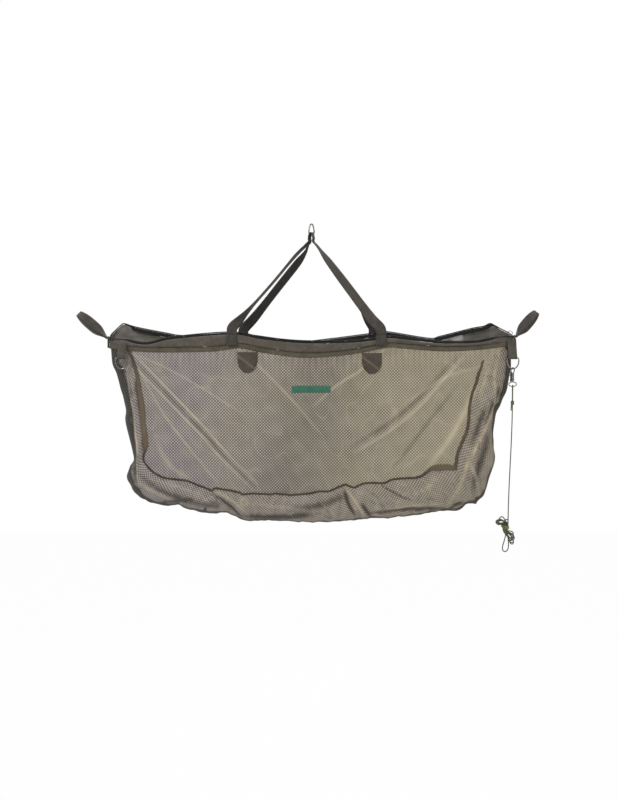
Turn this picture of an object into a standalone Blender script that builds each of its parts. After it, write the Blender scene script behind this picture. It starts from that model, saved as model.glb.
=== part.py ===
"""Recovery sling: a soft mesh bag with a zipped mouth, two carry straps and a retention cord.

Metres, +Z up, +X to the right and -Y towards the front. The origin is where the sling hangs,
inside the top of its hanging ring.
"""
import math

import bmesh
import bpy
import numpy as np
from mathutils import Matrix, Vector
from mathutils.bvhtree import BVHTree

# Driving sizes of the cloth and webbing
GAP = 0.0003                 # between pieces that touch
MESH = 0.0016                # netting cloth with its slack
CLOTH = 0.0012               # coated cloth of the collars and end hoods
TAPE = 0.0011                # zip tape
WEBBING = 0.0016             # webbing thickness
STRAP_WIDTH = 0.030          # carry straps and end handles
TAB_WIDTH = 0.025            # webbing tabs of the D-rings
PIPING = 0.0050              # bound seams
COIL = 0.0034                # zip coil

# The bag, seen from the front: left and right are -X and +X
SEAM = 0.068                 # half the gusset's width at the bottom
SEAM_TOP = 0.020             # half the gusset's width at the mouth's ends
LIP = 0.052                  # half the mouth's gap at its middle
SIDE_STEPS = 9
BOTTOM_STEPS = 20
GUSSET_STEPS = 6
HEM = 0.015                  # lower band of each collar
COLLAR_THICK = 0.014         # collar with its float inside
COLLAR_END = 0.005           # collar where no float fills it
FRONT_TAPE = 0.007           # zip tape that stands on the front collar
REAR_TAPE = 0.013            # zip tape that stands on the rear collar
FLOAT_CLEAR = 0.0007         # float to its sleeve

# Front seam and outline of the gusset, matched point for point, from the left end round to the right
LEFT_SEAM = [(-0.5750, -0.377), (-0.543, -0.425), (-0.521, -0.475), (-0.509, -0.585),
             (-0.494, -0.652), (-0.496, -0.694), (-0.474, -0.722)]
BOTTOM_SEAM = [(-0.474, -0.722), (-0.430, -0.750), (-0.296, -0.782), (-0.200, -0.794),
               (-0.061, -0.798), (0.060, -0.784), (0.171, -0.765), (0.272, -0.750),
               (0.364, -0.729), (0.416, -0.716)]
RIGHT_SEAM = [(0.5750, -0.371), (0.530, -0.420), (0.488, -0.484), (0.474, -0.552),
              (0.459, -0.627), (0.439, -0.686), (0.416, -0.716)]
LEFT_OUTLINE = [(-0.594, -0.378), (-0.589, -0.425), (-0.567, -0.475), (-0.553, -0.590),
                (-0.535, -0.680), (-0.546, -0.740), (-0.532, -0.789)]
BOTTOM_OUTLINE = [(-0.532, -0.789), (-0.486, -0.819), (-0.350, -0.842), (-0.200, -0.871),
                  (-0.061, -0.879), (0.060, -0.880), (0.171, -0.872), (0.272, -0.858),
                  (0.388, -0.840), (0.470, -0.822)]
RIGHT_OUTLINE = [(0.590, -0.374), (0.590, -0.425), (0.578, -0.490), (0.548, -0.560),
                 (0.541, -0.640), (0.534, -0.720), (0.470, -0.822)]

# Heights along the mouth: the zip edge of each lip and the lower edge of each collar
FRONT_EDGE = [(-0.598, -0.335), (-0.545, -0.337), (-0.485, -0.345), (-0.405, -0.328),
              (-0.235, -0.314), (-0.145, -0.328), (-0.030, -0.339), (0.100, -0.339),
              (0.180, -0.332), (0.225, -0.325), (0.270, -0.329), (0.380, -0.341),
              (0.480, -0.340), (0.545, -0.330), (0.598, -0.328)]
FRONT_HEM = [(-0.598, -0.364), (-0.480, -0.374), (-0.300, -0.372), (-0.212, -0.362),
             (-0.145, -0.374), (-0.030, -0.389), (0.100, -0.382), (0.218, -0.361),
             (0.270, -0.363), (0.380, -0.371), (0.480, -0.368), (0.560, -0.360), (0.598, -0.358)]
REAR_EDGE = [(-0.598, -0.335), (-0.580, -0.333), (-0.554, -0.291), (-0.520, -0.301),
             (-0.435, -0.318), (-0.380, -0.326), (-0.250, -0.320), (-0.185, -0.324),
             (-0.120, -0.333), (-0.034, -0.344), (0.055, -0.336), (0.178, -0.320),
             (0.220, -0.314), (0.350, -0.334), (0.385, -0.328), (0.475, -0.305),
             (0.512, -0.298), (0.530, -0.290), (0.550, -0.322), (0.562, -0.328), (0.598, -0.328)]
REAR_HEM = [(-0.598, -0.364), (-0.450, -0.370), (-0.200, -0.380), (0.000, -0.388),
            (0.200, -0.376), (0.450, -0.368), (0.598, -0.358)]
MOUTH_END = 0.600
FRONT_REACH = MOUTH_END - 0.004          # the front collar's ends
PANEL_END = 0.570            # the panels' top corners
HOOD_STEPS = 2               # end hoods start this many panel steps in from the corners
ZIP_CLOSE = 0.0030           # half the distance between the coils at the mouth's ends
ZIP_STRAIGHT = 0.040         # length over which the tapes lie flat at the mouth's ends
HORN = [0.4845, 0.530, 0.545, 0.558]     # more places for the raised ends of the lips

PANEL_X = np.linspace(-PANEL_END, PANEL_END, BOTTOM_STEPS + 1)
HEM_X = np.array([-MOUTH_END, *PANEL_X, MOUTH_END])
EDGE_X = np.array(sorted([*HEM_X, *HORN, *(-h for h in HORN)]))
HOOD_FROM = PANEL_X[-1 - HOOD_STEPS]

# What is sewn on the panels
PATCH_WIDTH = 0.058
PATCH_DROP = 0.060           # how far a patch reaches below its collar
PATCH_LEAN = 0.036           # a patch sits this far inboard of its strap
LABEL_WIDTH = 0.118
LABEL_HEIGHT = 0.020
LABEL_PLACE = (-0.001, -0.481)
BADGE = 0.0014               # thickness of patches and label

# Carry straps: their feet on the collars, then the way up to the ring
HINGE_Z = -0.322             # where the straps bend over the collars
FOOT_DROP = 0.030
STRAP_Y = 0.0637             # middle of the straps at the collars
FRONT_FEET = (-0.232, 0.203)
REAR_FEET = (-0.205, 0.187)
APEX_WIDTH = 0.014           # straps gathered where they hang
APEX_HALF = 0.0085           # half the width of the hanging loops
REAR_APEX_Y = 0.024

# Hanging ring, a rounded triangle turned about Z; its top's inner side is the origin
RING_WIRE = 0.0040
RING_TURN = math.radians(45)
RING_BASE = 0.022
RING_TOP = 0.005
RING_HEIGHT = 0.028          # between the middles of its base and its top

# End handles: foot, direction above the horizontal, and reach, at the left and right
END_HANDLES = {"left": (-1, -0.334, math.radians(41), 0.112), "right": (1, -0.330, math.radians(48), 0.096)}
HANDLE_OPEN = 0.0085         # half the opening of an end handle
END_PATCH = (0.030, 0.034)   # width and height of the webbing that closes each end

# D-rings on their tabs, in front of the corners
RING_X = {"left": -0.5570, "right": 0.5900}
DEE_WIRE = 0.0036
DEE_HALF = 0.0176
DEE_DEPTH = 0.0325
DEE_Y = -0.0430
DEE_Z = -0.3900

# Snap hook: lengths are from its hook's middle, which hangs on the right D-ring
HOOK_WIRE = 0.0030
HOOK_RADIUS = 0.0065
HOOK_TURN = math.radians(-50)
BARREL = 0.0085
BARREL_TOP = -0.0082
BARREL_END = -0.0330
PIVOT = (-0.0062, -0.0160)
TRIGGER_THICK = 0.0040
EYE_WIRE = 0.0028
EYE_HALF = (0.0111, 0.0066)
STEM = 0.0032
STEM_CLEAR = 0.00008
PIN = 0.0018

# Cord, its knot and its hank
CORD = 0.0032
CORD_GAP = 0.0008            # between the hank's strands
KNOT = (0.0100, 0.0120)      # diameter and height
KNOT_DROP = 0.0420           # from the eye down to the knot
LINE_STEPS = 40
LINE_END = -0.8750           # where the hanging line meets the hank
LINE_LEAN = -0.0090          # how far the line has drifted to the left by then
HANK_LOOPS = 7
HANK_TURN = math.radians(15)
HANK_NECK = 0.0100           # the loops spread this far above and below the waist
WAIST_Z = -0.8910
TIE_TURNS = 3
TIE = 0.0026

# Zip slider at the right end of the mouth
SLIDER = (0.0120, 0.0150)    # length and width
SLIDER_PLATE = 0.0012
SLIDER_CLEAR = 0.0005        # plates to coils
SLIDER_X = 0.588
BAIL_WIRE = 0.0015
BAIL_REACH = 0.0034          # half the bail's width
BAIL_RISE = 0.0046
PULL_WIRE = 0.0018
PULL_RADIUS = 0.0075
PULL_LEAN = math.radians(40)

COLLECTION = "recovery_sling"


def clear_scene():
    """Remove every object, so that the model starts empty."""
    for obj in list(bpy.data.objects):
        bpy.data.objects.remove(obj, do_unlink=True)


def collection_named(name):
    """Return the collection of that name, linked to the scene."""
    found = bpy.data.collections.get(name)
    if found is None:
        found = bpy.data.collections.new(name)
        bpy.context.scene.collection.children.link(found)
    return found


def material(name, color, roughness, metallic=0.0):
    """Return a Principled material, made once for each name."""
    made = bpy.data.materials.get(name)
    if made is None:
        made = bpy.data.materials.new(name)
        made.use_nodes = True
        shader = made.node_tree.nodes["Principled BSDF"]
        shader.inputs["Base Color"].default_value = (*color, 1.0)
        shader.inputs["Roughness"].default_value = roughness
        shader.inputs["Metallic"].default_value = metallic
    return made


def netting():
    return material("netting", (0.28, 0.25, 0.21), 0.85)


def collar_cloth():
    return material("collar_cloth", (0.10, 0.085, 0.065), 0.8)


def webbing():
    return material("webbing", (0.065, 0.06, 0.052), 0.75)


def piping_cloth():
    return material("piping_cloth", (0.075, 0.06, 0.042), 0.8)


def zip_black():
    return material("zip_black", (0.012, 0.012, 0.010), 0.6)


def steel():
    return material("nickel_steel", (0.55, 0.55, 0.54), 0.25, 1.0)


def cord_green():
    return material("cord_green", (0.08, 0.10, 0.045), 0.8)


def smooth_spans(points, steps):
    """A Catmull-Rom curve through the given points, with so many steps between two of them."""
    pts = np.array(points, float)
    ends = np.vstack([2 * pts[0] - pts[1], pts, 2 * pts[-1] - pts[-2]])
    t = np.linspace(0, 1, steps, endpoint=False)[:, None]
    runs = []
    for i in range(len(pts) - 1):
        a, b, c, d = ends[i:i + 4]
        runs.append(0.5 * (2 * b + (c - a) * t + (2 * a - 5 * b + 4 * c - d) * t ** 2
                           + (3 * b - a - 3 * c + d) * t ** 3))
    return np.vstack(runs + [pts[-1:]])


def smooth_line(points, count):
    """Points evenly spaced along the smooth curve through the given ones."""
    fine = smooth_spans(points, 24)
    along = np.concatenate([[0], np.cumsum(np.linalg.norm(np.diff(fine, axis=0), axis=1))])
    at = np.linspace(0, along[-1], count)
    return np.stack([np.interp(at, along, fine[:, k]) for k in range(fine.shape[1])], axis=1)


def height_at(table, x):
    """Height of a smooth edge, given as points along X, at the places x."""
    fine = smooth_line(table, 240)
    return np.interp(x, fine[:, 0], fine[:, 1])


def hem_height(table, x):
    """Height of a collar's lower edge, straight between the panels' steps."""
    return np.interp(x, HEM_X, height_at(table, HEM_X))


def edge_height(table, x):
    """Height of a lip's zip edge, straight between its places."""
    return np.interp(x, EDGE_X, height_at(table, EDGE_X))


def lip_gap(x):
    """Half the mouth's gap at the places x: widest in the middle, nearly closed at the ends."""
    along = np.clip(np.abs(HEM_X) / MOUTH_END, 0, 1)
    return np.interp(x, HEM_X, ZIP_CLOSE + (LIP - ZIP_CLOSE) * (1 - along ** 2.4))


def finish(name, mesh, surface):
    """Make the mesh a smooth-shaded object of the sling's collection."""
    mesh.materials.append(surface)
    mesh.shade_smooth()
    mesh.set_sharp_from_angle(angle=math.radians(40))
    obj = bpy.data.objects.new(name, mesh)
    collection_named(COLLECTION).objects.link(obj)
    return obj


def shell(name, grid, thickness, surface, offset=0.0):
    """A cloth piece: an open surface through a grid of points, with Solidify."""
    rows, cols = grid.shape[:2]
    faces = [(r * cols + c, (r + 1) * cols + c, (r + 1) * cols + c + 1, r * cols + c + 1)
             for r in range(rows - 1) for c in range(cols - 1)]
    mesh = bpy.data.meshes.new(name)
    mesh.from_pydata(grid.reshape(-1, 3).tolist(), [], faces)
    obj = finish(name, mesh, surface)
    solid = obj.modifiers.new("thickness", "SOLIDIFY")
    solid.thickness = thickness
    solid.offset = offset
    return obj


def loft(name, sections, surface, capped=True):
    """A skin over a row of closed sections; without caps it stays an open sleeve."""
    count, around = sections.shape[:2]
    faces = []
    for s in range(count - 1):
        for k in range(around):
            nxt = (k + 1) % around
            faces.append((s * around + k, (s + 1) * around + k, (s + 1) * around + nxt, s * around + nxt))
    if capped:
        faces.append(tuple(range(around)))
        faces.append(tuple((count - 1) * around + k for k in reversed(range(around))))
    mesh = bpy.data.meshes.new(name)
    mesh.from_pydata(sections.reshape(-1, 3).tolist(), [], faces)
    shape = bmesh.new()
    shape.from_mesh(mesh)
    bmesh.ops.recalc_face_normals(shape, faces=shape.faces)
    shape.to_mesh(mesh)
    shape.free()
    return finish(name, mesh, surface)


def ribbon(name, path, across, width, thickness, surface):
    """A flat band along a path; across is the width's direction at each point."""
    path = np.array(path, float)
    across = np.array(across, float)
    along = np.gradient(path, axis=0)
    along /= np.linalg.norm(along, axis=1)[:, None]
    across -= along * (across * along).sum(axis=1)[:, None]
    across /= np.linalg.norm(across, axis=1)[:, None]
    face = np.cross(along, across)
    half_w = np.broadcast_to(np.asarray(width, float) / 2, len(path))[:, None]
    half_t = np.broadcast_to(np.asarray(thickness, float) / 2, len(path))[:, None]
    corners = [(-1, -1), (1, -1), (1, 1), (-1, 1)]
    sections = np.stack([path + across * half_w * a + face * half_t * b for a, b in corners], axis=1)
    return loft(name, sections, surface)


def wire(name, points, diameter, surface, closed=False, resolution=2):
    """A round wire or cord: a poly curve with a bevel and filled caps."""
    curve = bpy.data.curves.new(name, "CURVE")
    curve.dimensions = "3D"
    curve.bevel_depth = diameter / 2
    curve.bevel_resolution = resolution
    curve.use_fill_caps = True
    spline = curve.splines.new("POLY")
    spline.points.add(len(points) - 1)
    for point, place in zip(spline.points, points):
        point.co = (*place, 1.0)
    spline.use_cyclic_u = closed
    spline.use_smooth = True
    curve.materials.append(surface)
    obj = bpy.data.objects.new(name, curve)
    collection_named(COLLECTION).objects.link(obj)
    return obj


def stations():
    """The front seam, the outline and half the gusset's width, at matched steps round the bag."""
    def joined(left, bottom, right):
        sides = [smooth_line(left, SIDE_STEPS + 1), smooth_line(bottom, BOTTOM_STEPS + 1)[1:],
                 smooth_line(right, SIDE_STEPS + 1)[::-1][1:]]
        return np.vstack(sides)

    seam = joined(LEFT_SEAM, BOTTOM_SEAM, RIGHT_SEAM)
    outline = joined(LEFT_OUTLINE, BOTTOM_OUTLINE, RIGHT_OUTLINE)
    step = np.arange(len(seam))
    down = np.minimum(step, step[::-1]) / SIDE_STEPS
    half = SEAM_TOP + (SEAM - SEAM_TOP) * np.sin(np.clip(down, 0, 1) * math.pi / 2)
    return seam, outline, half


def inward_of(seam, outline):
    """Directions square to the seam, pointing into the panel."""
    along = np.gradient(seam, axis=0)
    along /= np.linalg.norm(along, axis=1)[:, None]
    square = np.stack([along[:, 1], -along[:, 0]], axis=1)
    return square * np.sign((square * (seam - outline)).sum(axis=1))[:, None]


def gusset():
    """The strip round the sides and bottom: half ellipses from seam to seam, over the outline."""
    seam, outline, half = stations()
    reach = -((outline - seam) * inward_of(seam, outline)).sum(axis=1)
    start = np.arcsin((PIPING / 2 + 2 * GAP) / reach)
    share = np.linspace(0, 1, GUSSET_STEPS + 1)
    angle = start[:, None] + (math.pi - 2 * start[:, None]) * share[None, :]
    swing = np.sin(angle)[..., None]
    flat = seam[:, None, :] + (outline - seam)[:, None, :] * swing
    depth = -half[:, None] * np.cos(angle)
    grid = np.stack([flat[..., 0], depth, flat[..., 1]], axis=-1)
    return shell("gusset", grid, MESH, netting())


def panel_grid(side, hem):
    """Points of a main panel between a collar and its seam; side is -1 at the front and 1 at the rear."""
    seam, outline, half = stations()
    edge = seam + inward_of(seam, outline) * (PIPING / 2 + 2 * GAP)
    border = np.stack([edge[:, 0], side * half, edge[:, 1]], axis=1)
    left = border[:SIDE_STEPS + 1]
    bottom = border[SIDE_STEPS:SIDE_STEPS + BOTTOM_STEPS + 1]
    right = border[::-1][:SIDE_STEPS + 1]
    share = np.linspace(0, 1, BOTTOM_STEPS + 1)
    x = PANEL_X
    top = np.stack([x, side * (lip_gap(x) + COLLAR_THICK / 2), hem_height(hem, x) - 2 * GAP], axis=1)
    left = left + (top[0] - left[0]) * (1 - np.linspace(0, 1, SIDE_STEPS + 1))[:, None] ** 3
    right = right + (top[-1] - right[0]) * (1 - np.linspace(0, 1, SIDE_STEPS + 1))[:, None] ** 3
    u = share[None, :, None]
    v = np.linspace(0, 1, SIDE_STEPS + 1)[:, None, None]
    corners = (1 - v) * ((1 - u) * top[0] + u * top[-1]) + v * ((1 - u) * bottom[0] + u * bottom[-1])
    return (1 - v) * top[None] + v * bottom[None] + (1 - u) * left[:, None] + u * right[:, None] - corners


def panel(name, side, hem):
    """A main panel of netting."""
    return shell(name, panel_grid(side, hem), MESH, netting())


def seam_binding(name, side):
    """Piping along the seam between a panel and the gusset."""
    seam, _, half = stations()
    points = np.stack([seam[:, 0], side * half, seam[:, 1]], axis=1)
    return wire(name, points[1:-1], PIPING, piping_cloth(), resolution=1)


def collar_stations(edge, hem, tape, reach):
    """Places, top and bottom heights and thickness of a collar, out to reach on both sides."""
    inner = EDGE_X[np.abs(EDGE_X) < reach - 0.004]
    x = np.array([-reach, *inner, reach])
    top = edge_height(edge, x) - tape - GAP
    bottom = hem_height(hem, x) + HEM + GAP
    fill = np.clip((1 - np.abs(x) / reach) * 6, 0, 1)
    thick = COLLAR_END + (COLLAR_THICK - COLLAR_END) * np.sin(fill * math.pi / 2)
    return x, top, np.minimum(bottom, top - 0.006), thick


def flat_oval(x, middle, centre, height, thick):
    """An eight-sided flattened profile at one place along the mouth."""
    shape = [(-0.5, -0.32), (-0.28, -0.5), (0.28, -0.5), (0.5, -0.32),
             (0.5, 0.32), (0.28, 0.5), (-0.28, 0.5), (-0.5, 0.32)]
    return [(x, centre + a * thick, middle + b * height) for a, b in shape]


def collar(name, side, edge, hem, tape, reach):
    """A cloth sleeve along one lip of the mouth, open at both ends."""
    x, top, bottom, thick = collar_stations(edge, hem, tape, reach)
    centre = side * (lip_gap(x) + COLLAR_THICK / 2)
    sections = np.array([flat_oval(x[i], (top[i] + bottom[i]) / 2, centre[i], top[i] - bottom[i], thick[i])
                         for i in range(len(x))])
    obj = loft(name, sections, collar_cloth(), capped=False)
    solid = obj.modifiers.new("thickness", "SOLIDIFY")
    solid.thickness = CLOTH
    solid.offset = -1.0
    return obj


def lip_float(name, side, edge, hem, tape, reach):
    """The closed-cell foam bar inside a collar, which keeps the mouth up in water."""
    x, top, bottom, thick = collar_stations(edge, hem, tape, reach)
    filled = slice(4, -4)
    inset = 2 * (CLOTH + FLOAT_CLEAR)
    centre = side * (lip_gap(x) + COLLAR_THICK / 2)
    sections = np.array([flat_oval(x[i], (top[i] + bottom[i]) / 2, centre[i],
                                   top[i] - bottom[i] - inset - 0.002, thick[i] - inset)
                         for i in range(len(x))])[filled]
    return loft(name, sections, material("closed_cell_foam", (0.05, 0.05, 0.05), 0.9))


def strip(name, line, down, width, thick, surface):
    """A flat band that hangs from a line in the direction down, cut square across X."""
    face = np.stack([0 * down[:, 0], -down[:, 2], down[:, 1]], axis=1) * thick / 2
    low = line + down * np.reshape(width, (-1, 1))
    sections = np.stack([line - face, line + face, low + face, low - face], axis=1)
    return loft(name, sections, surface)


def hem_tape(name, side, edge, hem, tape, reach):
    """The lower band that joins a collar to its panel."""
    x, _, bottom, _ = collar_stations(edge, hem, tape, reach)
    top = bottom - 2 * GAP
    line = np.stack([x, side * (lip_gap(x) + COLLAR_THICK / 2), top], axis=1)
    down = np.tile([0.0, 0.0, -1.0], (len(x), 1))
    return strip(name, line, down, top - hem_height(hem, x), 0.0024,
                 material("hem_tape", (0.15, 0.13, 0.09), 0.8))


def zip_edge(side, edge):
    """The coil's line along one lip."""
    return np.stack([EDGE_X, side * lip_gap(EDGE_X), edge_height(edge, EDGE_X)], axis=1)


def zip_tape(name, side, edge, width, low=-MOUTH_END, high=MOUTH_END):
    """Zip tape from low to high along X: it stands on its collar and turns flat at the mouth's ends."""
    line = zip_edge(side, edge)
    line = line[(line[:, 0] > low - GAP) & (line[:, 0] < high + GAP)]
    line[:, 0] = np.clip(line[:, 0], low + GAP / 2, high - GAP / 2)
    flat = np.clip((np.abs(line[:, 0]) - (MOUTH_END - 2 * ZIP_STRAIGHT)) / ZIP_STRAIGHT, 0, 1) * math.pi / 2
    down = np.stack([0 * flat, side * np.sin(flat), -np.cos(flat)], axis=1)
    start = line + down * (COIL / 2 + GAP)
    return strip(name, start, down, width - COIL / 2 - 2 * GAP, TAPE, zip_black())


def zip_coil(name, side, edge):
    """One zip coil, along the free edge of its tape."""
    line = zip_edge(side, edge)
    turn = np.linspace(0, 2 * math.pi, 6, endpoint=False)
    ring = np.stack([0 * turn, np.cos(turn), np.sin(turn)], axis=1) * COIL / 2
    return loft(name, line[:, None] + ring[None], zip_black())


def end_hood(name, end):
    """Smooth cloth at one end of the rear lip, from the rear collar to the mouth's end."""
    x = EDGE_X[EDGE_X > HOOD_FROM - GAP]
    x = np.array([*x[:-1], MOUTH_END - 0.002]) * end
    rise = REAR_TAPE * np.clip((MOUTH_END - np.abs(x)) / 0.05, 0.5, 1)
    top = edge_height(REAR_EDGE, x) - rise - GAP
    bottom = np.minimum(hem_height(REAR_HEM, x), top - 0.012)
    share = np.linspace(0, 1, 5)[:, None]
    z = top[None] * (1 - share) + bottom[None] * share
    bulge = 0.006 * np.sin(share * math.pi) * np.clip((np.abs(x) - HOOD_FROM) / 0.03, 0, 1)
    y = (lip_gap(x) + COLLAR_THICK / 2)[None] * share + lip_gap(x)[None] * (1 - share) + bulge
    grid = np.stack([np.broadcast_to(x, z.shape), y, z], axis=-1)
    return shell(name, grid, CLOTH, material("hood_cloth", (0.13, 0.12, 0.105), 0.75))


def panel_depth(side, hem, xs, zs):
    """How far out a panel's outer face lies, at its furthest among the places given."""
    grid = panel_grid(side, hem)
    rows, cols = grid.shape[:2]
    faces = [(r * cols + c, (r + 1) * cols + c, (r + 1) * cols + c + 1, r * cols + c + 1)
             for r in range(rows - 1) for c in range(cols - 1)]
    tree = BVHTree.FromPolygons([Vector(v) for v in grid.reshape(-1, 3)], faces)
    found = []
    for x in xs:
        for z in zs:
            hit = tree.ray_cast(Vector((x, side, z)), Vector((0, -side, 0)))[0]
            if hit is not None:
                found.append(hit.y * side)
    return max(found) + MESH / 2


def plate(name, outline, depth, thick, surface):
    """A flat piece: an outline in X and Z, extruded along Y about its depth."""
    curve = bpy.data.curves.new(name, "CURVE")
    curve.dimensions = "2D"
    curve.fill_mode = "BOTH"
    curve.extrude = thick / 2
    spline = curve.splines.new("POLY")
    spline.points.add(len(outline) - 1)
    for point, (x, z) in zip(spline.points, outline):
        point.co = (x, z, 0.0, 1.0)
    spline.use_cyclic_u = True
    curve.materials.append(surface)
    obj = bpy.data.objects.new(name, curve)
    obj.location = (0.0, depth, 0.0)
    obj.rotation_euler = (math.pi / 2, 0.0, 0.0)
    collection_named(COLLECTION).objects.link(obj)
    return obj


def strap_patch(name, side, hem, foot):
    """A round-ended reinforcement that hangs below a collar beside a strap's foot."""
    x = foot - math.copysign(PATCH_LEAN, foot)
    half = PATCH_WIDTH / 2
    top = hem_height(hem, np.linspace(x - half, x + half, 5)).min() - 4 * GAP
    turn = np.linspace(0, math.pi, 11)
    low = top - PATCH_DROP + half * 0.8
    round_end = zip(x - half * np.cos(turn), low - half * 0.8 * np.sin(turn))
    outline = [(x - half, top), *round_end, (x + half, top)]
    depth = panel_depth(side, hem, np.linspace(x - half, x + half, 7), np.linspace(low - half * 0.8, top, 5))
    return plate(name, outline, side * (depth + GAP + BADGE / 2), BADGE,
                 material("patch_cloth", (0.07, 0.055, 0.04), 0.8))


def label():
    """A bare woven label on the front panel."""
    x, z = LABEL_PLACE
    xs = np.linspace(x - LABEL_WIDTH / 2, x + LABEL_WIDTH / 2, 9)
    zs = np.linspace(z - LABEL_HEIGHT / 2, z + LABEL_HEIGHT / 2, 3)
    outline = [(xs[0], zs[0]), (xs[-1], zs[0]), (xs[-1], zs[-1]), (xs[0], zs[-1])]
    depth = panel_depth(-1, FRONT_HEM, xs, zs)
    return plate("label", outline, -(depth + GAP + BADGE / 2), BADGE,
                 material("label_green", (0.02, 0.20, 0.11), 0.6))


def end_patch(name, end):
    """Webbing that closes one end of the mouth and carries its end handle."""
    foot = END_HANDLES["left" if end < 0 else "right"][1]
    wide, tall = END_PATCH
    x = end * (MOUTH_END + GAP + WEBBING / 2)
    path = [(x, 0.0, foot + 0.006), (x, 0.0, foot + 0.006 - tall)]
    return ribbon(name, path, [(0, 1, 0)] * 2, wide, WEBBING, webbing())


def strap_foot(name, side, x):
    """The sewn end of a carry strap, flat on its collar."""
    widest = lip_gap(np.linspace(x - STRAP_WIDTH / 2, x + STRAP_WIDTH / 2, 5)).max()
    face = side * (widest + COLLAR_THICK + GAP + WEBBING / 2)
    top = HINGE_Z - GAP
    path = [(x, face, top - FOOT_DROP), (x, face, top - FOOT_DROP / 3), (x, side * STRAP_Y, top)]
    return ribbon(name, path, [(1, 0, 0)] * 3, STRAP_WIDTH, WEBBING, webbing())


def carry_strap(name, side, feet, bends, apex, turn):
    """A webbing loop from foot to foot over the apex; its legs twist as they rise."""
    left, right = bends
    loop = [(-APEX_HALF * 0.95, -0.050), (-APEX_HALF, -0.040), (-APEX_HALF * 0.8, -0.0315)]
    crown = apex[2] + RING_WIRE / 2 + 2 * GAP + WEBBING / 2
    across_x, across_y = math.cos(turn), -math.sin(turn)
    lifted = loop + [(-APEX_HALF * 0.38, crown - 0.0016), (0.0, crown), (APEX_HALF * 0.38, crown - 0.0016)]
    lifted += [(-a, z) for a, z in reversed(loop)]
    top = [(apex[0] + a * across_x, apex[1] + a * across_y, z) for a, z in lifted]
    ends = [[(foot, side * STRAP_Y, HINGE_Z + 2 * GAP + h) for h in (0.0, 0.005, 0.010)] for foot in feet]
    middle = smooth_spans([ends[0][2], *left, *top, *right[::-1], ends[1][2]], 3)
    path = np.vstack([ends[0][:2], middle, ends[1][1::-1]])
    rise = np.clip((path[:, 2] - HINGE_Z) / (apex[2] - HINGE_Z), 0, 1)
    gathered = np.clip((rise - 0.72) / 0.16, 0, 1)
    width = STRAP_WIDTH + (APEX_WIDTH - STRAP_WIDTH) * gathered ** 2 * (3 - 2 * gathered)
    bar = np.array([math.sin(turn), math.cos(turn), 0.0])
    leg = np.array([1.0, 0.0, 0.0])
    early = 0.35 if side < 0 else 0.75
    late = 0.75 if side < 0 else 0.45
    begin = np.where(path[:, 0] < apex[0], early, late)
    twist = np.clip((rise - begin) / 0.22, 0, 1)
    twist = (twist ** 2 * (3 - 2 * twist))[:, None]
    return ribbon(name, path, leg * (1 - twist) + bar * twist, width, WEBBING, webbing())


def ring_bar():
    """Middle of the hanging ring's base, which carries the front strap."""
    return (0.0, 0.0, RING_WIRE / 2 - RING_HEIGHT)


def hanging_ring():
    """A rounded triangle of round steel that the front strap's loop hangs in."""
    top = RING_WIRE / 2
    low = top - RING_HEIGHT
    wide = RING_BASE / 2
    corner = [(0.0, top), (RING_TOP / 2, top), (wide * 0.65, top - RING_HEIGHT * 0.21),
              (wide * 0.95, top - RING_HEIGHT * 0.64), (wide, low + 0.0035), (wide - 0.0012, low + 0.0008),
              (wide - 0.004, low)]
    half = smooth_line(corner, 12)
    flat = np.vstack([half, half[::-1][:-1] * [-1, 1]])
    across = flat[:, 0]
    points = np.stack([across * math.sin(RING_TURN), across * math.cos(RING_TURN), flat[:, 1]], axis=1)
    return wire("hanging_ring", points, RING_WIRE, steel(), closed=True)


def handle_foot(end, foot):
    """Where an end handle bends out of its end patch."""
    return Vector((end * (MOUTH_END + 3 * GAP + 2 * WEBBING), 0.0, foot))


def end_handle(name, end, foot, rise, reach):
    """A short webbing loop that points up and outwards from one end of the mouth."""
    shape = [(0.0, 0.0011), (0.16, 0.30), (0.42, 0.85), (0.68, 1.0), (0.88, 0.75), (0.975, 0.35), (1.0, 0.0)]
    half = [(a * reach, n * HANDLE_OPEN if i else WEBBING / 2 + GAP) for i, (a, n) in enumerate(shape)]
    flat = smooth_line(half + [(a, -n) for a, n in reversed(half[:-1])], 33)
    out = np.array([end * math.cos(rise), 0.0, math.sin(rise)])
    level = np.array([-end * math.sin(rise), 0.0, math.cos(rise)])
    tilt = math.pi / 2 - math.radians(50) * np.clip(flat[:, 0] / reach / 0.6, 0, 1)
    front = np.array([0.0, -1.0, 0.0])
    apart = level[None] * np.sin(tilt)[:, None] + front[None] * np.cos(tilt)[:, None]
    path = np.array(handle_foot(end, foot)) + out * flat[:, :1] + apart * flat[:, 1:]
    across = np.cross(np.broadcast_to(out, apart.shape), apart)
    return ribbon(name, path, across, STRAP_WIDTH, WEBBING, webbing())


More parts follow.
